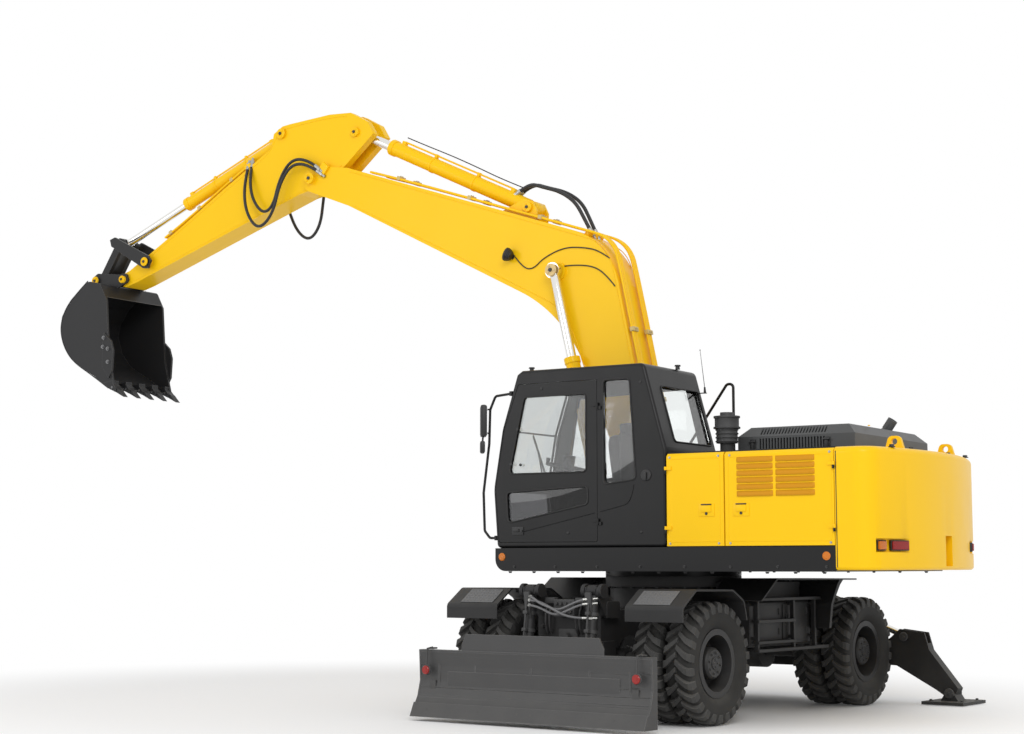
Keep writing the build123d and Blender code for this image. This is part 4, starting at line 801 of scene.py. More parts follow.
# Weld beads along the plates' edges, in the boom's and the arm's own axes
beadLook = {"radius": 0.0045, "boomHalf": 0.2005, "armHalf": 0.1555}
boomTop = [(-0.03, 0.1), (1.71, 1.415), (2.07, 1.665), (2.48, 1.505), (5.25, 0.365)]
boomLow = [(0.1, -0.075), (1.3, 0.465), (1.98, 0.885), (2.55, 0.755), (4.95, 0.115)]
armTop = [(-0.62, 0.5), (-0.4, 0.585), (0.14, 0.715), (0.3, 0.735), (0.42, 0.66), (0.52, 0.555), (1.28, 0.4),
          (1.95, 0.25), (2.55, 0.125)]
armLow = [(-0.4, -0.005), (-0.12, -0.085), (0.25, -0.045), (2.85, -0.065)]


def makeBeads():
    for body, place, half, lines in (("boom", boomFrame, beadLook["boomHalf"], (boomTop, boomLow)),
                                     ("arm", armFrame, beadLook["armHalf"], (armTop, armLow))):
        routes = [[(x, side * half, z) for x, z in line] for side in (1, -1) for line in lines]
        smoothCurve("weld_beads_" + body, routes, beadLook["radius"], "yellowPaint", body, place)


makeBeads()


# Steel pipes with their clamps on the boom's back and along the arm's top
pipeLook = {"radius": 0.013, "rows": (0.112, 0.145, 0.178), "lift": 0.03}
boomBack = [(0.42, 0.533), (1.0, 0.965), (1.72, 1.5), (2.068, 1.745), (2.49, 1.575), (3.6, 1.118),
            (4.8, 0.622), (5.02, 0.52)]
armBack = [(0.86, 0.561), (1.05, 0.524), (1.28, 0.478), (1.6, 0.4), (1.95, 0.324), (2.3, 0.26)]
boomClamps = [(0.75, 0.762, 36.7), (1.3, 1.172, 36.7), (2.9, 1.388, -22.4), (3.75, 1.038, -22.4),
              (4.65, 0.668, -22.4)]
armClamps = [(1.15, 0.485, -11.8), (1.7, 0.365, -12.9), (2.2, 0.262, -15.0)]


def makePipes():
    rows = pipeLook["rows"]
    for body, place, line, clamps, scale in (("boom", boomFrame, boomBack, boomClamps, 1.0),
                                             ("arm", armFrame, armBack, armClamps, 0.74)):
        routes = [[(x, side * row * scale, z) for x, z in line] for side in (1, -1) for row in rows]
        smoothCurve("steel_pipes_" + body, routes, pipeLook["radius"], "yellowPaint", body, place)
        shape = bmesh.new()
        for x, z, lean in clamps:
            for side in (1, -1):
                turn = turned(-lean, "Y")
                middle = Vector((x, side * rows[1] * scale, z + pipeLook["lift"] * 0.72))
                addBox(shape, middle, (0.045, 0.105 * scale, 0.044), 0.006, turn)
                for offset in (-0.5, 0.5):
                    spot = middle + turn @ Vector((0, offset * (rows[2] - rows[1]) * scale, 0.022))
                    addBolt(shape, spot, turn @ Vector((0, 0, 1)), 0.008)
        # clamps in the paler yellow, which paints their highlights in
        keep("pipe_clamps_" + body, shape, "clampHighlightPaint", body, place)


makePipes()
print("boom and arm trimmed")


# Cylinders: gland nut with bolts, ports and a steel pipe along each barrel
# name, body, base pin and its frame, rod's eye and its frame, bare rod at rest, barrel's radius, port's side
cylinderTable = [
    ("boom_left", "boom_barrels", house, (0.62, 0.115, 1.58), boomFrame, (2.35, 0.285, 1.117), 0.915,
     0.072, (0, 1, 0)),
    ("boom_right", "boom_barrels", house, (0.62, -0.455, 1.58), boomFrame, (2.35, -0.285, 1.117), 0.915,
     0.072, (0, -1, 0)),
    ("arm", "arm_barrel", boomFrame, (3.126, 0, 1.386), armFrame, (-0.686, 0, 0.272), 0.437,
     0.08, (0, 0, 1)),
    ("bucket", "bucket_barrel", armFrame, (0.287, 0, 0.694), armFrame, (3.021, 0, 0.488), 1.052,
     0.07, (0, 0, 1)),
]
for side, name in ((1, "left"), (-1, "right")):
    cylinderTable.append(("blade_" + name, "blade_barrels", chassis, (1.79, side * 0.33, 1.13), chassis,
                          (1.88, side * 0.33, 0.44), 0.196, 0.045, (1, 0, 0)))
for side, name in ((1, "left"), (-1, "right")):
    cylinderTable.append(("leg_" + name, "leg_barrel_" + name, chassis, (-2.2, side * 0.4, 1.01), chassis,
                          (-2.2, side * 1.34, 0.645), 0.448, 0.056, (0, 0, 1)))


def makeCylinderTrim(name, body, place, base, endPlace, end, shown, radius, outward):
    start, finish = place @ Vector(base), endPlace @ Vector(end)
    along = (finish - start).normalized()
    gland = start + along * ((finish - start).length - shown)
    side = along.cross(place.to_3x3() @ Vector(outward)).cross(along).normalized()
    across = along.cross(side)
    shape = bmesh.new()
    addRod(shape, gland - along * 0.052, gland - along * 0.002, radius + 0.009, sides=40)
    addRod(shape, gland - along * 0.01, gland + along * 0.004, radius * 0.86, radius * 0.82, 32)
    for a, b in ring(8, radius * 0.78 + 0.006, 0.3):
        addBolt(shape, gland + side * a + across * b - along * 0.003, along, 0.0085)
    reach = (gland - start).length
    pipe = side * (radius + 0.028)
    for t in (0.16, 0.93):
        spot = start + along * reach * t
        addBox(shape, spot + side * (radius + 0.012), (0.05, 0.05, 0.045), 0.005, facing(side))
    addRod(shape, start + along * reach * 0.16 + pipe, start + along * reach * 0.93 + pipe, 0.01)
    for t in (0.4, 0.7):
        spot = start + along * reach * t
        addRod(shape, spot - along * 0.015, spot + along * 0.015, radius + 0.006, sides=40)
        addBox(shape, spot + side * (radius + 0.02), (0.045, 0.03, 0.045), 0.005, facing(side))
    keep("cylinder_trim_" + name, shape, "castIron" if place is chassis else "yellowPaint", body,
         Matrix.Identity(4))


for row in cylinderTable:
    makeCylinderTrim(*row)
print("cylinders trimmed")


# Louvres, mesh, hood catches and door latches of the body
louvreLook = {"blocks": ((-1.995, -1.665), (-1.615, -1.302)), "first": 1.935, "pitch": 0.058, "count": 6,
              "wires": 34,
              "section": [(1.25, 0.042), (1.258, 0.037), (1.265, 0.023), (1.266, 0.008), (1.263, -0.002),
                          (1.259, -0.003), (1.261, 0.01), (1.258, 0.023), (1.247, 0.035)]}


def addStrip(shape, section, low, high, z):
    # a bent strip along x at a height, its ends drawn in
    rows = []
    root = section[0][0]
    for t, squeeze in ((low, 0.15), (low + 0.012, 0.85), (low + 0.03, 1), (high - 0.03, 1),
                       (high - 0.012, 0.85), (high, 0.15)):
        rows.append([shape.verts.new((t, root + (a - root) * squeeze, z + b)) for a, b in section])
    for near, far in zip(rows, rows[1:]):
        for k in range(len(section)):
            n = (k + 1) % len(section)
            shape.faces.new((near[k], near[n], far[n], far[k]))
    shape.faces.new(rows[0])
    shape.faces.new(rows[-1])


def makeLouvres():
    shape = bmesh.new()
    for low, high in louvreLook["blocks"]:
        for k in range(louvreLook["count"]):
            z = louvreLook["first"] + louvreLook["pitch"] * k
            addStrip(shape, louvreLook["section"], low - 0.012, high + 0.012, z)
    # blades in the darker orange, which paints the shade of the tilted slats
    keep("louvre_blades", shape, "louvreShadePaint", "left_rear_door", house)
    shape = bmesh.new()
    for low, high in louvreLook["blocks"]:
        middle, wide, wires = (low + high) / 2, high - low, louvreLook["wires"]
        for k in range(wires):
            x = low - 0.005 + (wide + 0.01) * k / (wires - 1)
            addBox(shape, (x, 1.205, 2.095), (0.0025, 0.003, 0.36), 0)
        for k in range(wires):
            addBox(shape, (middle, 1.203, 1.92 + 0.0106 * k), (wide + 0.02, 0.003, 0.0025), 0)
        addBox(shape, (middle, 1.198, 2.095), (wide + 0.06, 0.006, 0.4), 0.002)
    keep("louvre_mesh", shape, "blackMetal", "left_rear_door", house)


def makeHoodTrim():
    shape = bmesh.new()
    for x in (-1.83, -1.12):
        addBox(shape, (x, 0.566, 2.41), (0.055, 0.014, 0.11), 0.006)
        addBox(shape, (x, 0.58, 2.405), (0.03, 0.018, 0.085), 0.008)
        addRod(shape, (x - 0.03, 0.584, 2.44), (x + 0.03, 0.584, 2.44), 0.009)
        addBox(shape, (x, 0.566, 2.352), (0.04, 0.022, 0.026), 0.004)
    for x in (-1.59, -1.41):
        addRod(shape, (x, -1.212, 2.42), (x, -1.235, 2.42), 0.008)
    addRod(shape, (-1.6, -1.235, 2.42), (-1.4, -1.235, 2.42), 0.009)
    addBox(shape, (-1.487, 0.515, 2.4175), (0.66, 0.006, 0.115), 0.002)
    keep("hood_catches", shape, "blackMetal", "engine_hood", house)
    shape = bmesh.new()
    for x in (-1.83, -1.12):
        addBox(shape, (x, 0.573, 2.335), (0.05, 0.026, 0.018), 0.004)
        addBolt(shape, (x, 0.586, 2.335), (0, 1, 0), 0.008)
    for k in range(9):
        addBolt(shape, (-2.03 + 0.125 * k, 0.1, 2.577), (0, 0, 1), 0.009)
    keep("hood_fittings", shape, "yellowPaint", "engine_hood", house)


def addLatch(plate, dark, x, z, side):
    y = side * 1.25
    addBox(plate, (x, y + side * 0.003, z), (0.15, 0.006, 0.11), 0.003)
    addBox(plate, (x, y + side * 0.009, z + 0.012), (0.095, 0.012, 0.058), 0.008)
    addRod(dark, (x, y + side * 0.006, z - 0.03), (x, y + side * 0.013, z - 0.03), 0.012)
    addBox(dark, (x, y + side * 0.01, z + 0.048), (0.1, 0.006, 0.01), 0.002)


def makeLatches():
    for name, x, side, low, high in (("left_front_door", -1.0, 1, -1.164, -0.595),
                                     ("left_rear_door", -1.33, 1, -2.19, -1.176),
                                     ("right_door", -2.1, -1, -2.176, -0.595)):
        plate, dark = bmesh.new(), bmesh.new()
        addLatch(plate, dark, x, 1.82, side)
        keep("latch_plate_" + name, plate, "yellowPaint", name, house)
        keep("latch_key_" + name, dark, "blackMetal", name, house)
        shape = bmesh.new()
        ends = (low + 0.035, high - 0.035)
        loop = rounded([(ends[0], 1.55), (ends[1], 1.55), (ends[1], 2.27), (ends[0], 2.27)], 0.04)
        smoothCurve("pressed_edge_" + name, [[(x, side * 1.2495, z) for x, z in loop]], 0.003, "yellowPaint",
                    name, house, True)
        for z in (1.535, 2.285):
            for x in (low + 0.048, high - 0.048):
                addBolt(shape, (x, side * 1.25, z), (0, side, 0), 0.008)
        keep("door_screws_" + name, shape, "zinc", name, house)


makeLouvres()
makeHoodTrim()
makeLatches()
print("body trimmed")


# Hoses that hang free: name, frame, bodies, finish, radius, length, the span they bend over, the route
hoseTable = [
    ("arm_hose_outer", house, ("boom", "arm"), "hoseRubber", 0.017, 2.08,
     ((4.75, 0.1, 5.5), (5.25, 0.1, 5.5)),
     [(4.33, 0.052, 5.65), (4.48, 0.07, 5.76), (4.7, 0.095, 5.79), (4.85, 0.12, 5.58), (4.94, 0.125, 5.24),
      (5.15, 0.125, 5.08), (5.35, 0.11, 5.3), (5.42, 0.08, 5.62), (5.446, -0.022, 5.868)]),
    ("arm_hose_inner", house, ("boom", "arm"), "hoseRubber", 0.017, 1.8,
     ((4.75, 0.1, 5.5), (5.25, 0.1, 5.5)),
     [(4.36, 0.052, 5.71), (4.5, 0.058, 5.82), (4.73, 0.07, 5.85), (4.89, 0.08, 5.64), (4.97, 0.08, 5.35),
      (5.12, 0.08, 5.27), (5.28, 0.075, 5.44), (5.36, 0.05, 5.68), (5.399, -0.035, 5.893)]),
    ("arm_hose_right", house, ("boom", "arm"), "hoseRubber", 0.017, 2.08,
     ((4.7, -0.4, 5.5), (5.15, -0.4, 5.5)),
     [(4.33, -0.392, 5.65), (4.5, -0.42, 5.74), (4.65, -0.44, 5.7), (4.69, -0.455, 5.48),
      (4.74, -0.465, 5.18), (4.9, -0.465, 5.02), (5.09, -0.46, 5.16), (5.22, -0.44, 5.48),
      (5.399, -0.305, 5.893)]),
    ("cylinder_hose_left", boomFrame, ("boom", "arm_barrel"), "hoseRubber", 0.019, 1.16,
     ((2.85, 0.0, 1.6), (3.2, 0.0, 1.6)),
     [(2.38, 0.05, 1.61), (2.54, 0.05, 1.67), (2.74, 0.055, 1.74), (2.96, 0.055, 1.715), (3.16, 0.045, 1.63),
      (3.34, 0.032, 1.56), (3.385, 0.03, 1.4)]),
    ("cylinder_hose_right", boomFrame, ("boom", "arm_barrel"), "hoseRubber", 0.019, 1.17,
     ((2.85, 0.0, 1.6), (3.2, 0.0, 1.6)),
     [(2.38, -0.05, 1.61), (2.54, -0.05, 1.68), (2.74, -0.055, 1.755), (2.96, -0.055, 1.73),
      (3.16, -0.045, 1.64), (3.34, -0.032, 1.57), (3.385, -0.03, 1.4)]),
    ("tower_hose_upper", chassis, ("blade_barrels",), "braidedHose", 0.011, 0.68, None,
     [(1.866, -0.315, 1.04), (1.905, -0.27, 1.05), (1.915, -0.14, 1.03), (1.915, 0.02, 0.955),
      (1.915, 0.16, 1.01), (1.905, 0.27, 1.055), (1.866, 0.315, 1.06)]),
    ("tower_hose_middle", chassis, ("blade_barrels",), "braidedHose", 0.011, 0.69, None,
     [(1.87, -0.315, 1.0), (1.91, -0.265, 1.005), (1.935, -0.14, 0.985), (1.94, 0.02, 0.915),
      (1.935, 0.16, 0.965), (1.91, 0.265, 1.015), (1.87, 0.315, 1.02)]),
    ("tower_hose_lower", chassis, ("blade_barrels",), "braidedHose", 0.011, 0.7, None,
     [(1.88, 0.315, 0.9), (1.92, 0.265, 0.9), (1.96, 0.13, 0.92), (1.965, 0.0, 0.985),
      (1.95, -0.13, 1.02), (1.905, -0.25, 1.075), (1.862, -0.315, 1.08)]),
]


def meshOf(item):
    bpy.context.view_layer.update()
    return bpy.data.meshes.new_from_object(item.evaluated_get(bpy.context.evaluated_depsgraph_get()))


def makeHose(name, place, bodies, finish, radius, span, route):
    if span:
        line = smoothCurve(name + "_line", [route], 0.0, finish, None, place)
        path = [place @ v.co for v in meshOf(line).vertices]
        line.data.bevel_depth = radius
        tube = meshOf(line)
        tube.polygons.foreach_set("use_smooth", [True] * len(tube.polygons))
        hose = bpy.data.objects.new(name, tube)
        hose.matrix_world = place
        bpy.context.scene.collection.objects.link(hose)
        bpy.data.objects.remove(line)
        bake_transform(hose)
    else:
        hose = smoothCurve(name, [route], radius, finish, bodies[0], place)


def makeHoseEnds(name, place, bodies, radius, route):
    # a swaged sleeve and a nut at each end
    for end, near, body, mark in ((route[0], route[1], bodies[0], "_a"),
                                  (route[-1], route[-2], bodies[-1], "_b")):
        end, away = Vector(end), (Vector(near) - Vector(end)).normalized()
        shape = bmesh.new()
        addRod(shape, end - away * 0.02, end + away * 0.045, radius * 1.28, sides=20)
        addRod(shape, end - away * 0.045, end - away * 0.012, radius * 1.5, radius * 1.42, 6)
        addRod(shape, end - away * 0.085, end - away * 0.04, radius * 0.95)
        keep("hose_end_" + name + mark, shape, "zinc", body, place)


for name, place, bodies, finish, radius, length, span, route in hoseTable:
    makeHose(name, place, bodies, finish, radius, span, route)
for name, place, bodies, finish, radius, length, span, route in hoseTable:
    makeHoseEnds(name, place, bodies, radius, route)

# Blocks that the hoses start from, and clamped runs that move with one body
clampedRuns = [
    ("boom_foot_hoses", house, "house", "hoseRubber", 0.017,
     [[(-0.02, -0.17 + y, 1.84), (0.02, -0.17 + y, 2.06), (0.1, -0.17 + y, 2.2), (0.19, -0.17 + y, 2.26)]
      for y in (-0.16, -0.12, 0.12, 0.16)]),
    ("boom_lamp_cable", boomFrame, "boom", "hoseRubber", 0.006,
     [[(2.86, 0.206, 0.93), (2.7, 0.206, 0.9), (2.6, 0.206, 0.97), (2.58, 0.206, 1.12), (2.45, 0.206, 1.35),
       (2.25, 0.206, 1.49), (2.1, 0.206, 1.56), (1.95, 0.204, 1.575)]]),
    ("boom_port_pipe", boomFrame, "boom", "hoseRubber", 0.006,
     [[(2.33, 0.206, 1.2), (2.22, 0.206, 1.3), (2.02, 0.206, 1.42), (1.82, 0.206, 1.42),
       (1.72, 0.204, 1.4)]]),
    ("arm_cylinder_cable", boomFrame, "arm_barrel", "hoseRubber", 0.006,
     [[(3.35, 0.035, 1.49), (3.62, 0.06, 1.41), (3.95, 0.05, 1.33), (4.3, 0.06, 1.24), (4.7, 0.05, 1.12),
       (4.95, 0.045, 1.05)]]),
    ("blade_feed_pipes", chassis, "undercarriage", "castIron", 0.009,
     [[(1.712, y, 0.99), (1.745, y, 0.97), (1.745, y, 0.8), (1.712, y, 0.76)]
      for y in (-0.22, -0.18, 0.1, 0.14)]),
    ("outrigger_feed_pipes", chassis, "undercarriage", "hoseRubber", 0.013,
     [[(-1.9, side * 0.345, 0.9), (-2.05, side * 0.36, 0.97), (-2.24, side * 0.4, 1.09),
       (-2.24, side * 0.5, 1.085)]
      for side in (1, -1)]),
    ("axle_brake_pipes", chassis, "undercarriage", "zinc", 0.006,
     [[(x, side * 0.1, 0.735), (x, side * 0.28, 0.64), (x, side * 0.55, 0.602)] for x in (1.3, -1.5)
      for side in (1, -1)]),
    ("valve_hoses", house, "house", "hoseRubber", 0.015,
     [[(-0.49 + 0.065 * k, -0.36, 1.9), (-0.49 + 0.065 * k, -0.36, 2.02), (-0.44 + 0.065 * k, -0.34, 2.12),
       (-0.25 + 0.055 * k, -0.3, 2.12), (-0.12 + 0.035 * k, -0.28, 2.0), (-0.06 + 0.035 * k, -0.28, 1.85)]
      for k in range(5)]),
]
for name, place, body, finish, radius, routes in clampedRuns:
    smoothCurve(name, routes, radius, finish, body, place)


def makeHoseBlocks():
    shape = bmesh.new()
    addBox(shape, (5.56, 0.215, 0.185), (0.1, 0.03, 0.12), 0.006)
    addBox(shape, (5.5, -0.215, 0.185), (0.1, 0.03, 0.12), 0.006)
    addBox(shape, (2.36, 0.0, 1.6), (0.05, 0.3, 0.07), 0.006)
    keep("boom_hose_blocks", shape, "yellowPaint", "boom", boomFrame)
    shape = bmesh.new()
    for side in (1, -1):
        addBox(shape, (0.86, side * 0.124, 0.545), (0.09, 0.085, 0.05), 0.006)
    keep("arm_hose_blocks", shape, "yellowPaint", "arm", armFrame)
    shape = bmesh.new()
    for side in (1, -1):
        addBox(shape, (1.735, side * 0.16, 1.045), (0.06, 0.1, 0.05), 0.006)
    addBox(shape, (1.735, 0.0, 0.98), (0.09, 0.22, 0.15), 0.008)
    for k in range(4):
        addRod(shape, (1.775, -0.075 + 0.05 * k, 1.02), (1.8, -0.075 + 0.05 * k, 1.02), 0.018, sides=6)
        addRod(shape, (1.775, -0.075 + 0.05 * k, 0.95), (1.8, -0.075 + 0.05 * k, 0.95), 0.018, sides=6)
    for y, z in ((0.28, 0.82), (0.28, 0.7), (-0.28, 0.82), (-0.28, 0.7), (0.14, 0.7), (-0.14, 0.7)):
        addBolt(shape, (1.7, y, z), (1, 0, 0), 0.016)
    addBox(shape, (1.708, 0.0, 0.74), (0.02, 0.2, 0.12), 0.006)
    addRod(shape, (1.715, 0.0, 0.74), (1.76, 0.0, 0.74), 0.03, 0.026, 24)
    keep("front_valve_block", shape, "castIron", "undercarriage", chassis)
    shape = bmesh.new()
    lean = turned(7.4, "Y")
    for side in (1, -1):
        addBox(shape, (1.862, side * 0.325, 1.0), (0.026, 0.06, 0.24), 0.006, lean)
    keep("blade_port_blocks", shape, "castIron", "blade_barrels", chassis)


makeHoseBlocks()
print("hoses laid")


# Cab outside: handle, lock, pressed line, mirrors, antenna, lamps, wiper and roof knobs
def makeCabTrim():
    shape = bmesh.new()
    addBox(shape, (0.959, 1.223, 1.662), (0.125, 0.01, 0.075), 0.004)
    addBox(shape, (0.975, 1.232, 1.668), (0.07, 0.016, 0.03), 0.007)
    addRod(shape, (0.915, 1.228, 1.662), (0.915, 1.24, 1.662), 0.012)
    for x, z in ((0.7, 2.965), (0.42, 1.64), (0.93, 2.27)):
        addDisc(shape, (x, 1.22, z), (0, 1, 0), 0.014, 0.008)
    for z in (2.28, 2.6):
        x = 1.05 - (z - 2.17) * 0.22
        addRod(shape, (x, 1.222, z), (x, 1.24, z), 0.013)
    keep("cab_door_handle", shape, "blackMetal", "cab_door", house)
    smoothCurve("cab_door_line", [[(1.02, 1.2215, 1.63), (0.6, 1.2215, 1.72), (0.14, 1.2215, 1.815)]], 0.004,
                "cabPaint", "cab_door", house)
    shape = bmesh.new()
    addDisc(shape, (-0.391, 1.22, 2.14), (0, 1, 0), 0.052, 0.01)
    addBox(shape, (-0.391, 1.236, 2.13), (0.022, 0.014, 0.07), 0.005)
    addDisc(shape, (-0.34, 1.22, 2.969), (0, 1, 0), 0.013, 0.007)
    addDisc(shape, (-0.34, 1.22, 1.64), (0, 1, 0), 0.013, 0.007)
    for x, y in ((0.87, 1.12), (0.87, 0.32), (-0.36, 0.55)):
        addRod(shape, (x, y, 3.14), (x, y, 3.175), 0.022, 0.018, 20)
        addRod(shape, (x, y, 3.17), (x, y, 3.182), 0.03, 0.026, 20)
    for k in range(5):
        addRod(shape, (-0.22 + 0.05 * k, 0.5, 3.149), (-0.22 + 0.05 * k, 0.9, 3.149), 0.006, sides=8)
    addBox(shape, (0.25, 0.715, 3.15), (0.62, 0.56, 0.022), 0.01)
    for y in (0.47, 0.7, 0.93):
        addRod(shape, (-0.05, y, 3.16), (0.55, y, 3.16), 0.006, sides=8)
    keep("cab_fittings", shape, "blackMetal")
    smoothCurve("cab_side_line", [[(0.08, 1.2215, 1.826), (-0.1, 1.2215, 1.865), (-0.24, 1.2215, 1.9),
                                   (-0.265, 1.2215, 2.06)]], 0.004, "cabPaint", "house", house)


# side, middle, upper and lower arm
mirrorTable = [
    ("left", (1.315, 1.265, 2.69), [(1.292, 1.19, 2.8), (1.3, 1.22, 2.81), (1.312, 1.25, 2.78)],
     [(1.297, 1.19, 2.58), (1.302, 1.22, 2.57), (1.312, 1.25, 2.6)]),
    ("right", (1.01, -1.26, 2.42), [(0.93, -1.18, 2.262), (0.95, -1.2, 2.33), (0.99, -1.24, 2.36)],
     [(0.9, -1.18, 2.262), (0.92, -1.2, 2.4), (0.99, -1.24, 2.47)]),
]


def makeMirror(name, middle, upper, lower):
    x, y, z = middle
    smoothCurve("mirror_arms_" + name, [upper, lower], 0.008, "blackMetal")
    turn = turned(36 if y > 0 else -20, "Z")
    shape = bmesh.new()
    addBox(shape, (x, y, z), (0.062, 0.16, 0.3), 0.024, turn)
    addBox(shape, (x + 0.012, y, z - 0.245), (0.045, 0.13, 0.115), 0.018, turn)
    addRod(shape, (x + 0.012, y, z - 0.21), (x + 0.005, y, z - 0.14), 0.009)
    keep("mirror_housing_" + name, shape, "blackMetal")
    shape = bmesh.new()
    for spot, out, size in (((x, y, z), -0.032, (0.004, 0.136, 0.27)),
                            ((x + 0.012, y, z - 0.245), -0.023, (0.004, 0.106, 0.092))):
        addBox(shape, Vector(spot) + turn @ Vector((out, 0, 0)), size, 0.002, turn)
    keep("mirror_glass_" + name, shape, "mirrorGlass")


def makeAntenna():
    shape = bmesh.new()
    addBox(shape, (-0.475, 0.3, 2.935), (0.1, 0.03, 0.008), 0.002)
    addRod(shape, (-0.51, 0.3, 2.93), (-0.508, 0.3, 2.99), 0.013, 0.008)
    addRod(shape, (-0.508, 0.3, 2.985), (-0.464, 0.3, 3.34), 0.0035, 0.002, 10)
    addRod(shape, (-0.4645, 0.3, 3.334), (-0.4635, 0.3, 3.344), 0.005, sides=10)
    keep("antenna", shape, "blackMetal")


def addLamp(bodyShape, lensShape, middle, direction, radius):
    # round work lamp: ribbed bowl, rim, lens and a bracket under it
    middle, direction = Vector(middle), Vector(direction).normalized()
    neck = middle - direction * radius * 0.2
    addRod(bodyShape, middle - direction * radius * 0.9, neck, radius * 0.5, radius, 28)
    addRod(bodyShape, neck, middle + direction * 0.004, radius, sides=28)
    for k in range(3):
        spot = middle - direction * radius * (0.35 + 0.2 * k)
        addRod(bodyShape, spot, spot - direction * 0.006, radius * (0.92 - 0.12 * k), sides=28)
    addRod(lensShape, middle + direction * 0.002, middle + direction * 0.01, radius * 0.86, radius * 0.74,
           28)


# name, frame, body, bracket's reach and plate, then middle, direction and radius of each lamp
lampTable = [
    ("boom", boomFrame, "boom", (0, -0.055, 0), (0.06, 0.012, 0.05),
     [((2.93, 0.27, 0.905), (0.95, 0.15, -0.3), 0.07)]),
    ("roof", house, "house", (0, 0, 0.03), (0.05, 0.05, 0.012),
     [((1.01, y, 3.06), (1, 0, -0.15), 0.05) for y in (0.42, 1.0)]),
    ("box", house, "house", (-0.05, 0, 0), (0.05, 0.05, 0.012),
     [((1.145, -0.78, 1.72), (1, 0, -0.1), 0.065)]),
]


def makeLamps(name, place, body, reach, plate, lampsHere):
    bowl, lens = bmesh.new(), bmesh.new()
    for middle, direction, radius in lampsHere:
        addLamp(bowl, lens, middle, direction, radius)
        foot = Vector(middle) - Vector(direction).normalized() * radius * 0.5
        addRod(bowl, foot, foot + Vector(reach), 0.014)
        addBox(bowl, foot + Vector(reach), plate, 0.003)
    keep("lamp_bowls_" + name, bowl, "blackMetal", body, place)
    keep("lamp_lenses_" + name, lens, "lampLens", body, place)


def makeWiper():
    def spot(y, z, out=0.022):
        return slopeX(z, *frontTop) + out if z > 2.606 else slopeX(z, *frontMid) + out, y, z
    shape = bmesh.new()
    addRod(shape, spot(0.3, 2.12, 0.0), spot(0.3, 2.12, 0.035), 0.018)
    addRod(shape, spot(0.3, 2.12, 0.03), spot(0.5, 2.45, 0.03), 0.007)
    addRod(shape, spot(0.34, 2.24), spot(0.64, 2.58), 0.006)
    addRod(shape, spot(0.33, 2.235, 0.012), spot(0.65, 2.595, 0.012), 0.004)
    keep("wiper", shape, "blackMetal")


makeCabTrim()
for row in mirrorTable:
    makeMirror(*row)
makeAntenna()
for row in lampTable:
    makeLamps(*row)
makeWiper()


# Counterweight lamps, skirt markers and plugs
# finish, middle, size and turn of each lens on the left
tailTable = [("amberLens", (-2.508, 1.062, 1.511), (0.03, 0.105, 0.07), -14),
             ("redLens", (-2.592, 0.87, 1.511), (0.03, 0.18, 0.07), -26.6)]


def makeTailLamps(side, name):
    for finish, (x, y, z), size, lean in tailTable:
        turn = turned(side * lean, "Z")
        middle = Vector((x, side * y, z))
        shape = bmesh.new()
        addBox(shape, middle, size, 0.01, turn)
        for k in range(7):
            rib = turn @ Vector((-size[0] / 2, 0, -0.027 + 0.009 * k))
            addBox(shape, middle + rib, (0.005, size[1] * 0.9, 0.005), 0.001, turn)
        keep("tail_lens_" + finish + "_" + name, shape, finish)
        shape = bmesh.new()
        addBox(shape, middle + turn @ Vector((0.012, 0, 0)), (0.028, size[1] + 0.02, 0.086), 0.006, turn)
        keep("tail_base_" + finish + "_" + name, shape, "blackMetal")


def makeHouseMarks():
    shape = bmesh.new()
    for side in (1, -1):
        for x in (-2.1, 1.115):
            addDisc(shape, (x, side * 1.2485, 1.425), (0, side, 0), 0.036, 0.01)
            addRod(shape, (x, side * 1.256, 1.425), (x, side * 1.262, 1.425), 0.027, 0.022, 24)
    keep("side_reflectors", shape, "amberLens")
    shape = bmesh.new()
    for side in (1, -1):
        for k in range(13):
            addBolt(shape, (-2.05 + 0.26 * k, side * 1.18, 1.293), (0, 0, -1), 0.014)
        for k in range(8):
            addBolt(shape, (-2.1 + 0.44 * k, side * 1.25, 1.335), (0, side, 0), 0.01)
    for x, y in ring(36, 0.615):
        addBolt(shape, (x, y, 1.292), (0, 0, -1), 0.013)
    for y in (-0.9, -0.45, 0.45, 0.9):
        addBolt(shape, (-2.55, y, 2.327), (0, 0, 1), 0.022)
    for x, y in ring(6, 0.09):
        addBolt(shape, (-0.33 + x, y, 1.7), (0, 0, 1), 0.012)
    keep("house_bolts", shape, "blackMetal")
    # seam between the counterweight and the frame
    routes = [[(-2.195, side * 1.2495, 1.33), (-2.195, side * 1.2495, 2.29)] for side in (1, -1)]
    smoothCurve("counterweight_seams", routes, 0.004, "blackMetal", order=2)


makeTailLamps(1, "left")
makeTailLamps(-1, "right")
makeHouseMarks()


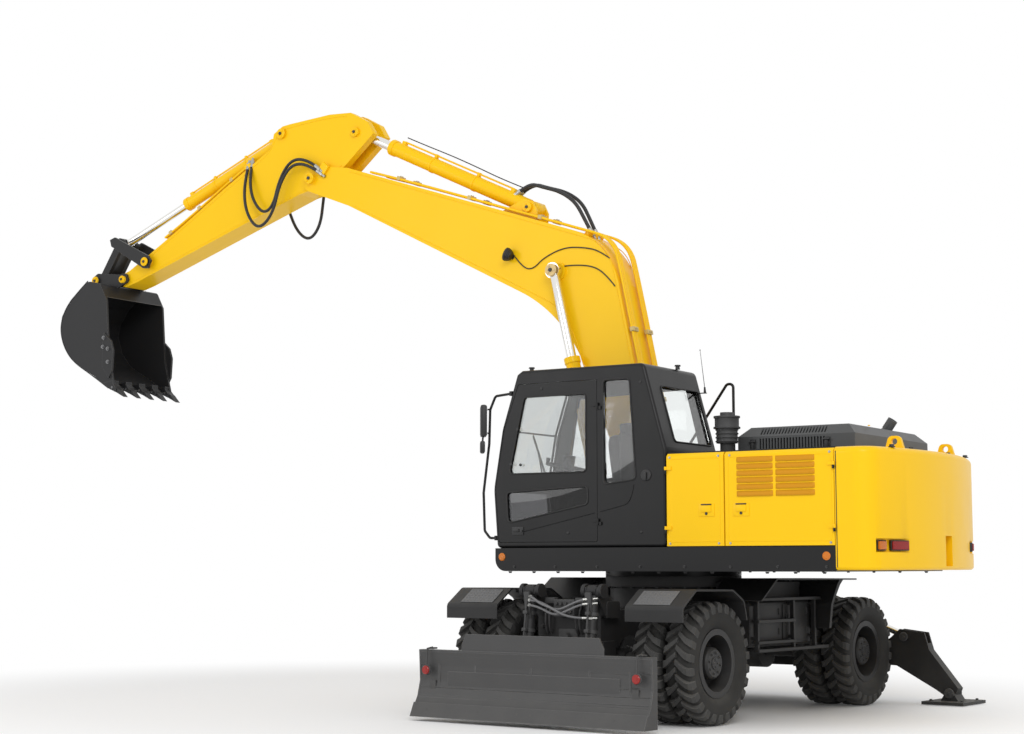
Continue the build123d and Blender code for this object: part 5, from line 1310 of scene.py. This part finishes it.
# Right side: tank and box fittings, anti-slip steps on top
def makeRightSide():
    shape = bmesh.new()
    addRod(shape, (-0.42, -0.76, 2.37), (-0.42, -0.76, 2.392), 0.062, 0.056, 32)
    addBox(shape, (-0.42, -0.76, 2.398), (0.09, 0.022, 0.018), 0.005)
    addBox(shape, (0.69, -1.24, 1.7), (0.1, 0.01, 0.12), 0.004)
    addBox(shape, (0.69, -1.247, 1.71), (0.06, 0.012, 0.06), 0.006)
    for x in (0.36, 1.02):
        for z in (1.6, 1.86):
            addRod(shape, (x, -1.241, z - 0.03), (x, -1.241, z + 0.03), 0.009)
    keep("tank_fittings", shape, "blackMetal")
    shape = bmesh.new()
    for x0, x1, z in ((0.29, 0.66, 1.962), (0.72, 0.98, 1.962), (-0.55, 0.2, 2.322)):
        addBox(shape, ((x0 + x1) / 2, -0.915, z), (x1 - x0, 0.52 if z < 2 else 0.4, 0.005), 0.002)
        count = int((x1 - x0) / 0.045)
        for k in range(count):
            for n in range(7):
                addRod(shape, (x0 + 0.03 + 0.045 * k, -0.915 + 0.055 * (n - 3), z),
                       (x0 + 0.03 + 0.045 * k, -0.915 + 0.055 * (n - 3), z + 0.007), 0.012, 0.006, 10)
    keep("top_tread", shape, "treadPlate")


makeRightSide()
print("house trimmed")


# Undercarriage: fender patches, step treads, box doors, blade reflectors and bolts
underLook = {"patch": (1.742, 0.93, 1.0765), "patchLean": 33.75, "studs": (5, 9), "studPitch": 0.038}


def makeUnderTrim():
    (x, y, z), pitch = underLook["patch"], underLook["studPitch"]
    rows, columns = underLook["studs"]
    for side, name in ((1, "left"), (-1, "right")):
        shape = bmesh.new()
        slope = turned(underLook["patchLean"], "Y")
        addBox(shape, (x, side * y, z), (0.2, 0.36, 0.005), 0.002, slope)
        for k in range(rows):
            for n in range(columns):
                spot = Vector((x, side * (y + pitch * (n - 4)), z))
                spot += slope @ Vector((pitch * (k - 2), 0, 0.002))
                addRod(shape, spot, spot + slope @ Vector((0, 0, 0.005)), 0.009, 0.005, 8)
        keep("fender_patch_" + name, shape, "treadPlate", "knuckle_" + name, chassis)
    shape = bmesh.new()
    for side in (1, -1):
        for z in (0.598, 0.856):
            for k in range(22):
                addBox(shape, (-0.26 + 0.029 * k, side * 1.108, z), (0.01, 0.05, 0.012), 0.002)
        for x in (-0.4, 0.12):
            addBox(shape, (x, side * 1.064, 0.83), (0.46, 0.01, 0.34), 0.004)
            addBox(shape, (x + 0.17, side * 1.072, 0.86), (0.05, 0.014, 0.09), 0.004)
            addRod(shape, (x - 0.21, side * 1.07, 0.72), (x - 0.21, side * 1.07, 0.78), 0.009)
            addRod(shape, (x - 0.21, side * 1.07, 0.9), (x - 0.21, side * 1.07, 0.96), 0.009)
    keep("box_doors", shape, "chassisPaint", "undercarriage", chassis)
    shape = bmesh.new()
    for x, y in ring(30, 0.618, 0.1):
        addBolt(shape, (x, y, 1.152), (0, 0, -1), 0.013)
    for x in (1.245, -1.555):
        for y, z in ring(12, 0.155):
            addBolt(shape, (x - 0.19, y, 0.522 + z), (-1, 0, 0), 0.012)
        for side in (1, -1):
            for dx, dy in ((0.1, 0.05), (0.1, -0.05), (-0.1, 0.05), (-0.1, -0.05)):
                addBolt(shape, (x + dx, side * (0.27 + dy), 0.638), (0, 0, -1), 0.016)
    keep("chassis_bolts", shape, "castIron", "undercarriage", chassis)


def makeBladeTrim():
    lens, metal = bmesh.new(), bmesh.new()
    for side in (1, -1):
        y = side * 1.1
        addDisc(lens, (2.318, y, 0.438), (1, 0, 0), 0.038, 0.012)
        for k in range(3):
            radius = 0.034 - 0.01 * k
            addRod(lens, (2.33 + 0.0015 * k, y, 0.438), (2.3315 + 0.0015 * k, y, 0.438), radius, sides=28)
        addDisc(metal, (2.306, y, 0.438), (1, 0, 0), 0.046, 0.012)
        addRod(metal, (2.312, y, 0.48), (2.3, y, 0.628), 0.007)
        addRod(metal, (2.302, y, 0.622), (2.23, y, 0.632), 0.007)
        addBox(metal, (2.225, y, 0.624), (0.07, 0.05, 0.014), 0.004)
        addBox(metal, (2.262, side * 1.06, 0.3), (0.016, 0.06, 0.1), 0.004)
        for k in range(9):
            addBolt(metal, (2.352, side * (0.07 + 0.14 * k), 0.1), (0.9, 0, 0.42), 0.013)
    keep("blade_reflectors", lens, "redLens", "blade", chassis)
    keep("blade_fittings", metal, "castIron", "blade", chassis)
    routes = [[(2.262, -1.2, 0.56), (2.262, 1.2, 0.56)], [(2.2665, -1.2, 0.29), (2.2665, 1.2, 0.29)]]
    smoothCurve("blade_beads", routes, 0.003, "bladePaint", "blade", chassis, order=2)


def makeLegTrim():
    for side, name in ((1, "left"), (-1, "right")):
        shape = bmesh.new()
        for reach in (-0.062, 0.062):
            way = (1 if reach > 0 else -1, 0, 0)
            for (y, z), radius in (((1.08, 0.45), 0.055), ((1.81, 0.11), 0.05), ((1.34, 0.645), 0.045)):
                depth = reach * 1.45 if y > 1.7 else reach * 1.2 if z > 0.6 else reach
                addDisc(shape, (-2.2 + depth, side * y, z), way, radius, 0.014)
                addBolt(shape, (-2.2 + depth + way[0] * 0.014, side * y, z), way, 0.012)
        for dx in (-0.19, 0.17):
            for dy in (-0.16, 0.16):
                addBolt(shape, (-2.21 + dx, side * (1.81 + dy), 0.038), (0, 0, 1), 0.016)
        keep("leg_fittings_" + name, shape, "castIron", "outrigger_" + name, chassis)


def makeBucketTrim():
    shape = bmesh.new()
    for side in (1, -1):
        for x, z in ((0.205, -0.7), (0.175, -0.85), (0.215, -1.0), (0.245, -0.8)):
            addBolt(shape, (x, side * 0.497, z), (0, side, 0), 0.018)
        for k in range(5):
            y = (k - 2) * 0.215 + side * 0.04
            addRod(shape, (0.245, y, -1.305), (0.245, y + side * 0.014, -1.305), 0.016, 0.013, 14)
    keep("bucket_bolts", shape, "wornSteel", "bucket", bucketFrame)
    back = [(0.3, 0.062), (0.62, -0.045), (0.8, -0.175), (0.892, -0.34), (0.884, -0.56), (0.785, -0.785),
            (0.51, -1.065), (0.31, -1.29)]
    routes = [[(x, side * 0.474, z) for x, z in back] for side in (1, -1)]
    smoothCurve("bucket_beads", routes, 0.006, "bucketPaint", "bucket", bucketFrame)


makeUnderTrim()
makeBladeTrim()
makeLegTrim()
makeBucketTrim()
print("undercarriage and bucket trimmed")


studio = {"floorSize": 120, "floorTone": 0.95, "shadowReach": (3.5, 8.0), "worldLight": 0.75}


def brightTo(tree, plain, kind):
    # the given shader for light, and plain white for what a lens, mirror or glass sees
    path = tree.nodes.new("ShaderNodeLightPath").outputs
    seen = mathNode(tree, "MAXIMUM", mathNode(tree, "MAXIMUM", path["Is Camera Ray"], path["Is Glossy Ray"]),
                    path["Is Transmission Ray"])
    mix = tree.nodes.new("ShaderNodeMixShader")
    white = tree.nodes.new(kind)
    feed(tree, 1.0, white.inputs["Strength"])
    feed(tree, (1, 1, 1), white.inputs["Color"])
    feed(tree, seen, mix.inputs[0])
    feed(tree, plain, mix.inputs[1])
    feed(tree, white.outputs[0], mix.inputs[2])
    return mix.outputs[0]


def makeWorld():
    world = bpy.data.worlds.new("studio")
    bpy.context.scene.world = world
    world.use_nodes = True
    tree = world.node_tree
    light = tree.nodes["Background"]
    feed(tree, (1, 1, 1), light.inputs["Color"])
    feed(tree, studio["worldLight"], light.inputs["Strength"])
    both = brightTo(tree, light.outputs[0], "ShaderNodeBackground")
    feed(tree, both, tree.nodes["World Output"].inputs["Surface"])


def makeFloor():
    bpy.ops.mesh.primitive_plane_add(size=studio["floorSize"], location=(0, 0, 0))
    floor = bpy.context.object
    floor.name = "floor"
    material, tree, shader = startMaterial("paleFloor")
    feed(tree, (studio["floorTone"],) * 3, shader.inputs["Base Color"])
    feed(tree, 0.9, shader.inputs["Roughness"])
    feed(tree, 0.0, shader.inputs["Specular IOR Level"])
    place = tree.nodes.new("ShaderNodeTexCoord").outputs["Object"]
    spread = tree.nodes.new("ShaderNodeMapRange")
    spread.interpolation_type = "SMOOTHSTEP"
    feed(tree, vectorNode(tree, "LENGTH", {0: place}, "Value"), spread.inputs["Value"])
    spread.inputs["From Min"].default_value, spread.inputs["From Max"].default_value = studio["shadowReach"]
    mix = tree.nodes.new("ShaderNodeMixShader")
    feed(tree, spread.outputs[0], mix.inputs[0])
    feed(tree, shader.outputs[0], mix.inputs[1])
    feed(tree, brightTo(tree, shader.outputs[0], "ShaderNodeEmission"), mix.inputs[2])
    feed(tree, mix.outputs[0], tree.nodes["Material Output"].inputs["Surface"])
    floor.data.materials.append(material)


def makeLamp(name, place, target, size, power):
    data = bpy.data.lights.new(name, "AREA")
    data.shape, data.size, data.energy = "DISK", size, power
    lamp = bpy.data.objects.new(name, data)
    lamp.location = place
    lamp.rotation_euler = (Vector(target) - Vector(place)).to_track_quat("-Z", "Y").to_euler()
    bpy.context.scene.collection.objects.link(lamp)


lamps = [("key", (-14, 16, 13), (0, 0, 2.5), 9.0, 1350), ("fill", (9, 17, 7), (0, 0, 2.5), 9.0, 420)]
makeWorld()
makeFloor()
for lamp in lamps:
    makeLamp(*lamp)
bpy.context.scene.view_settings.view_transform = "Standard"
print("studio ready")
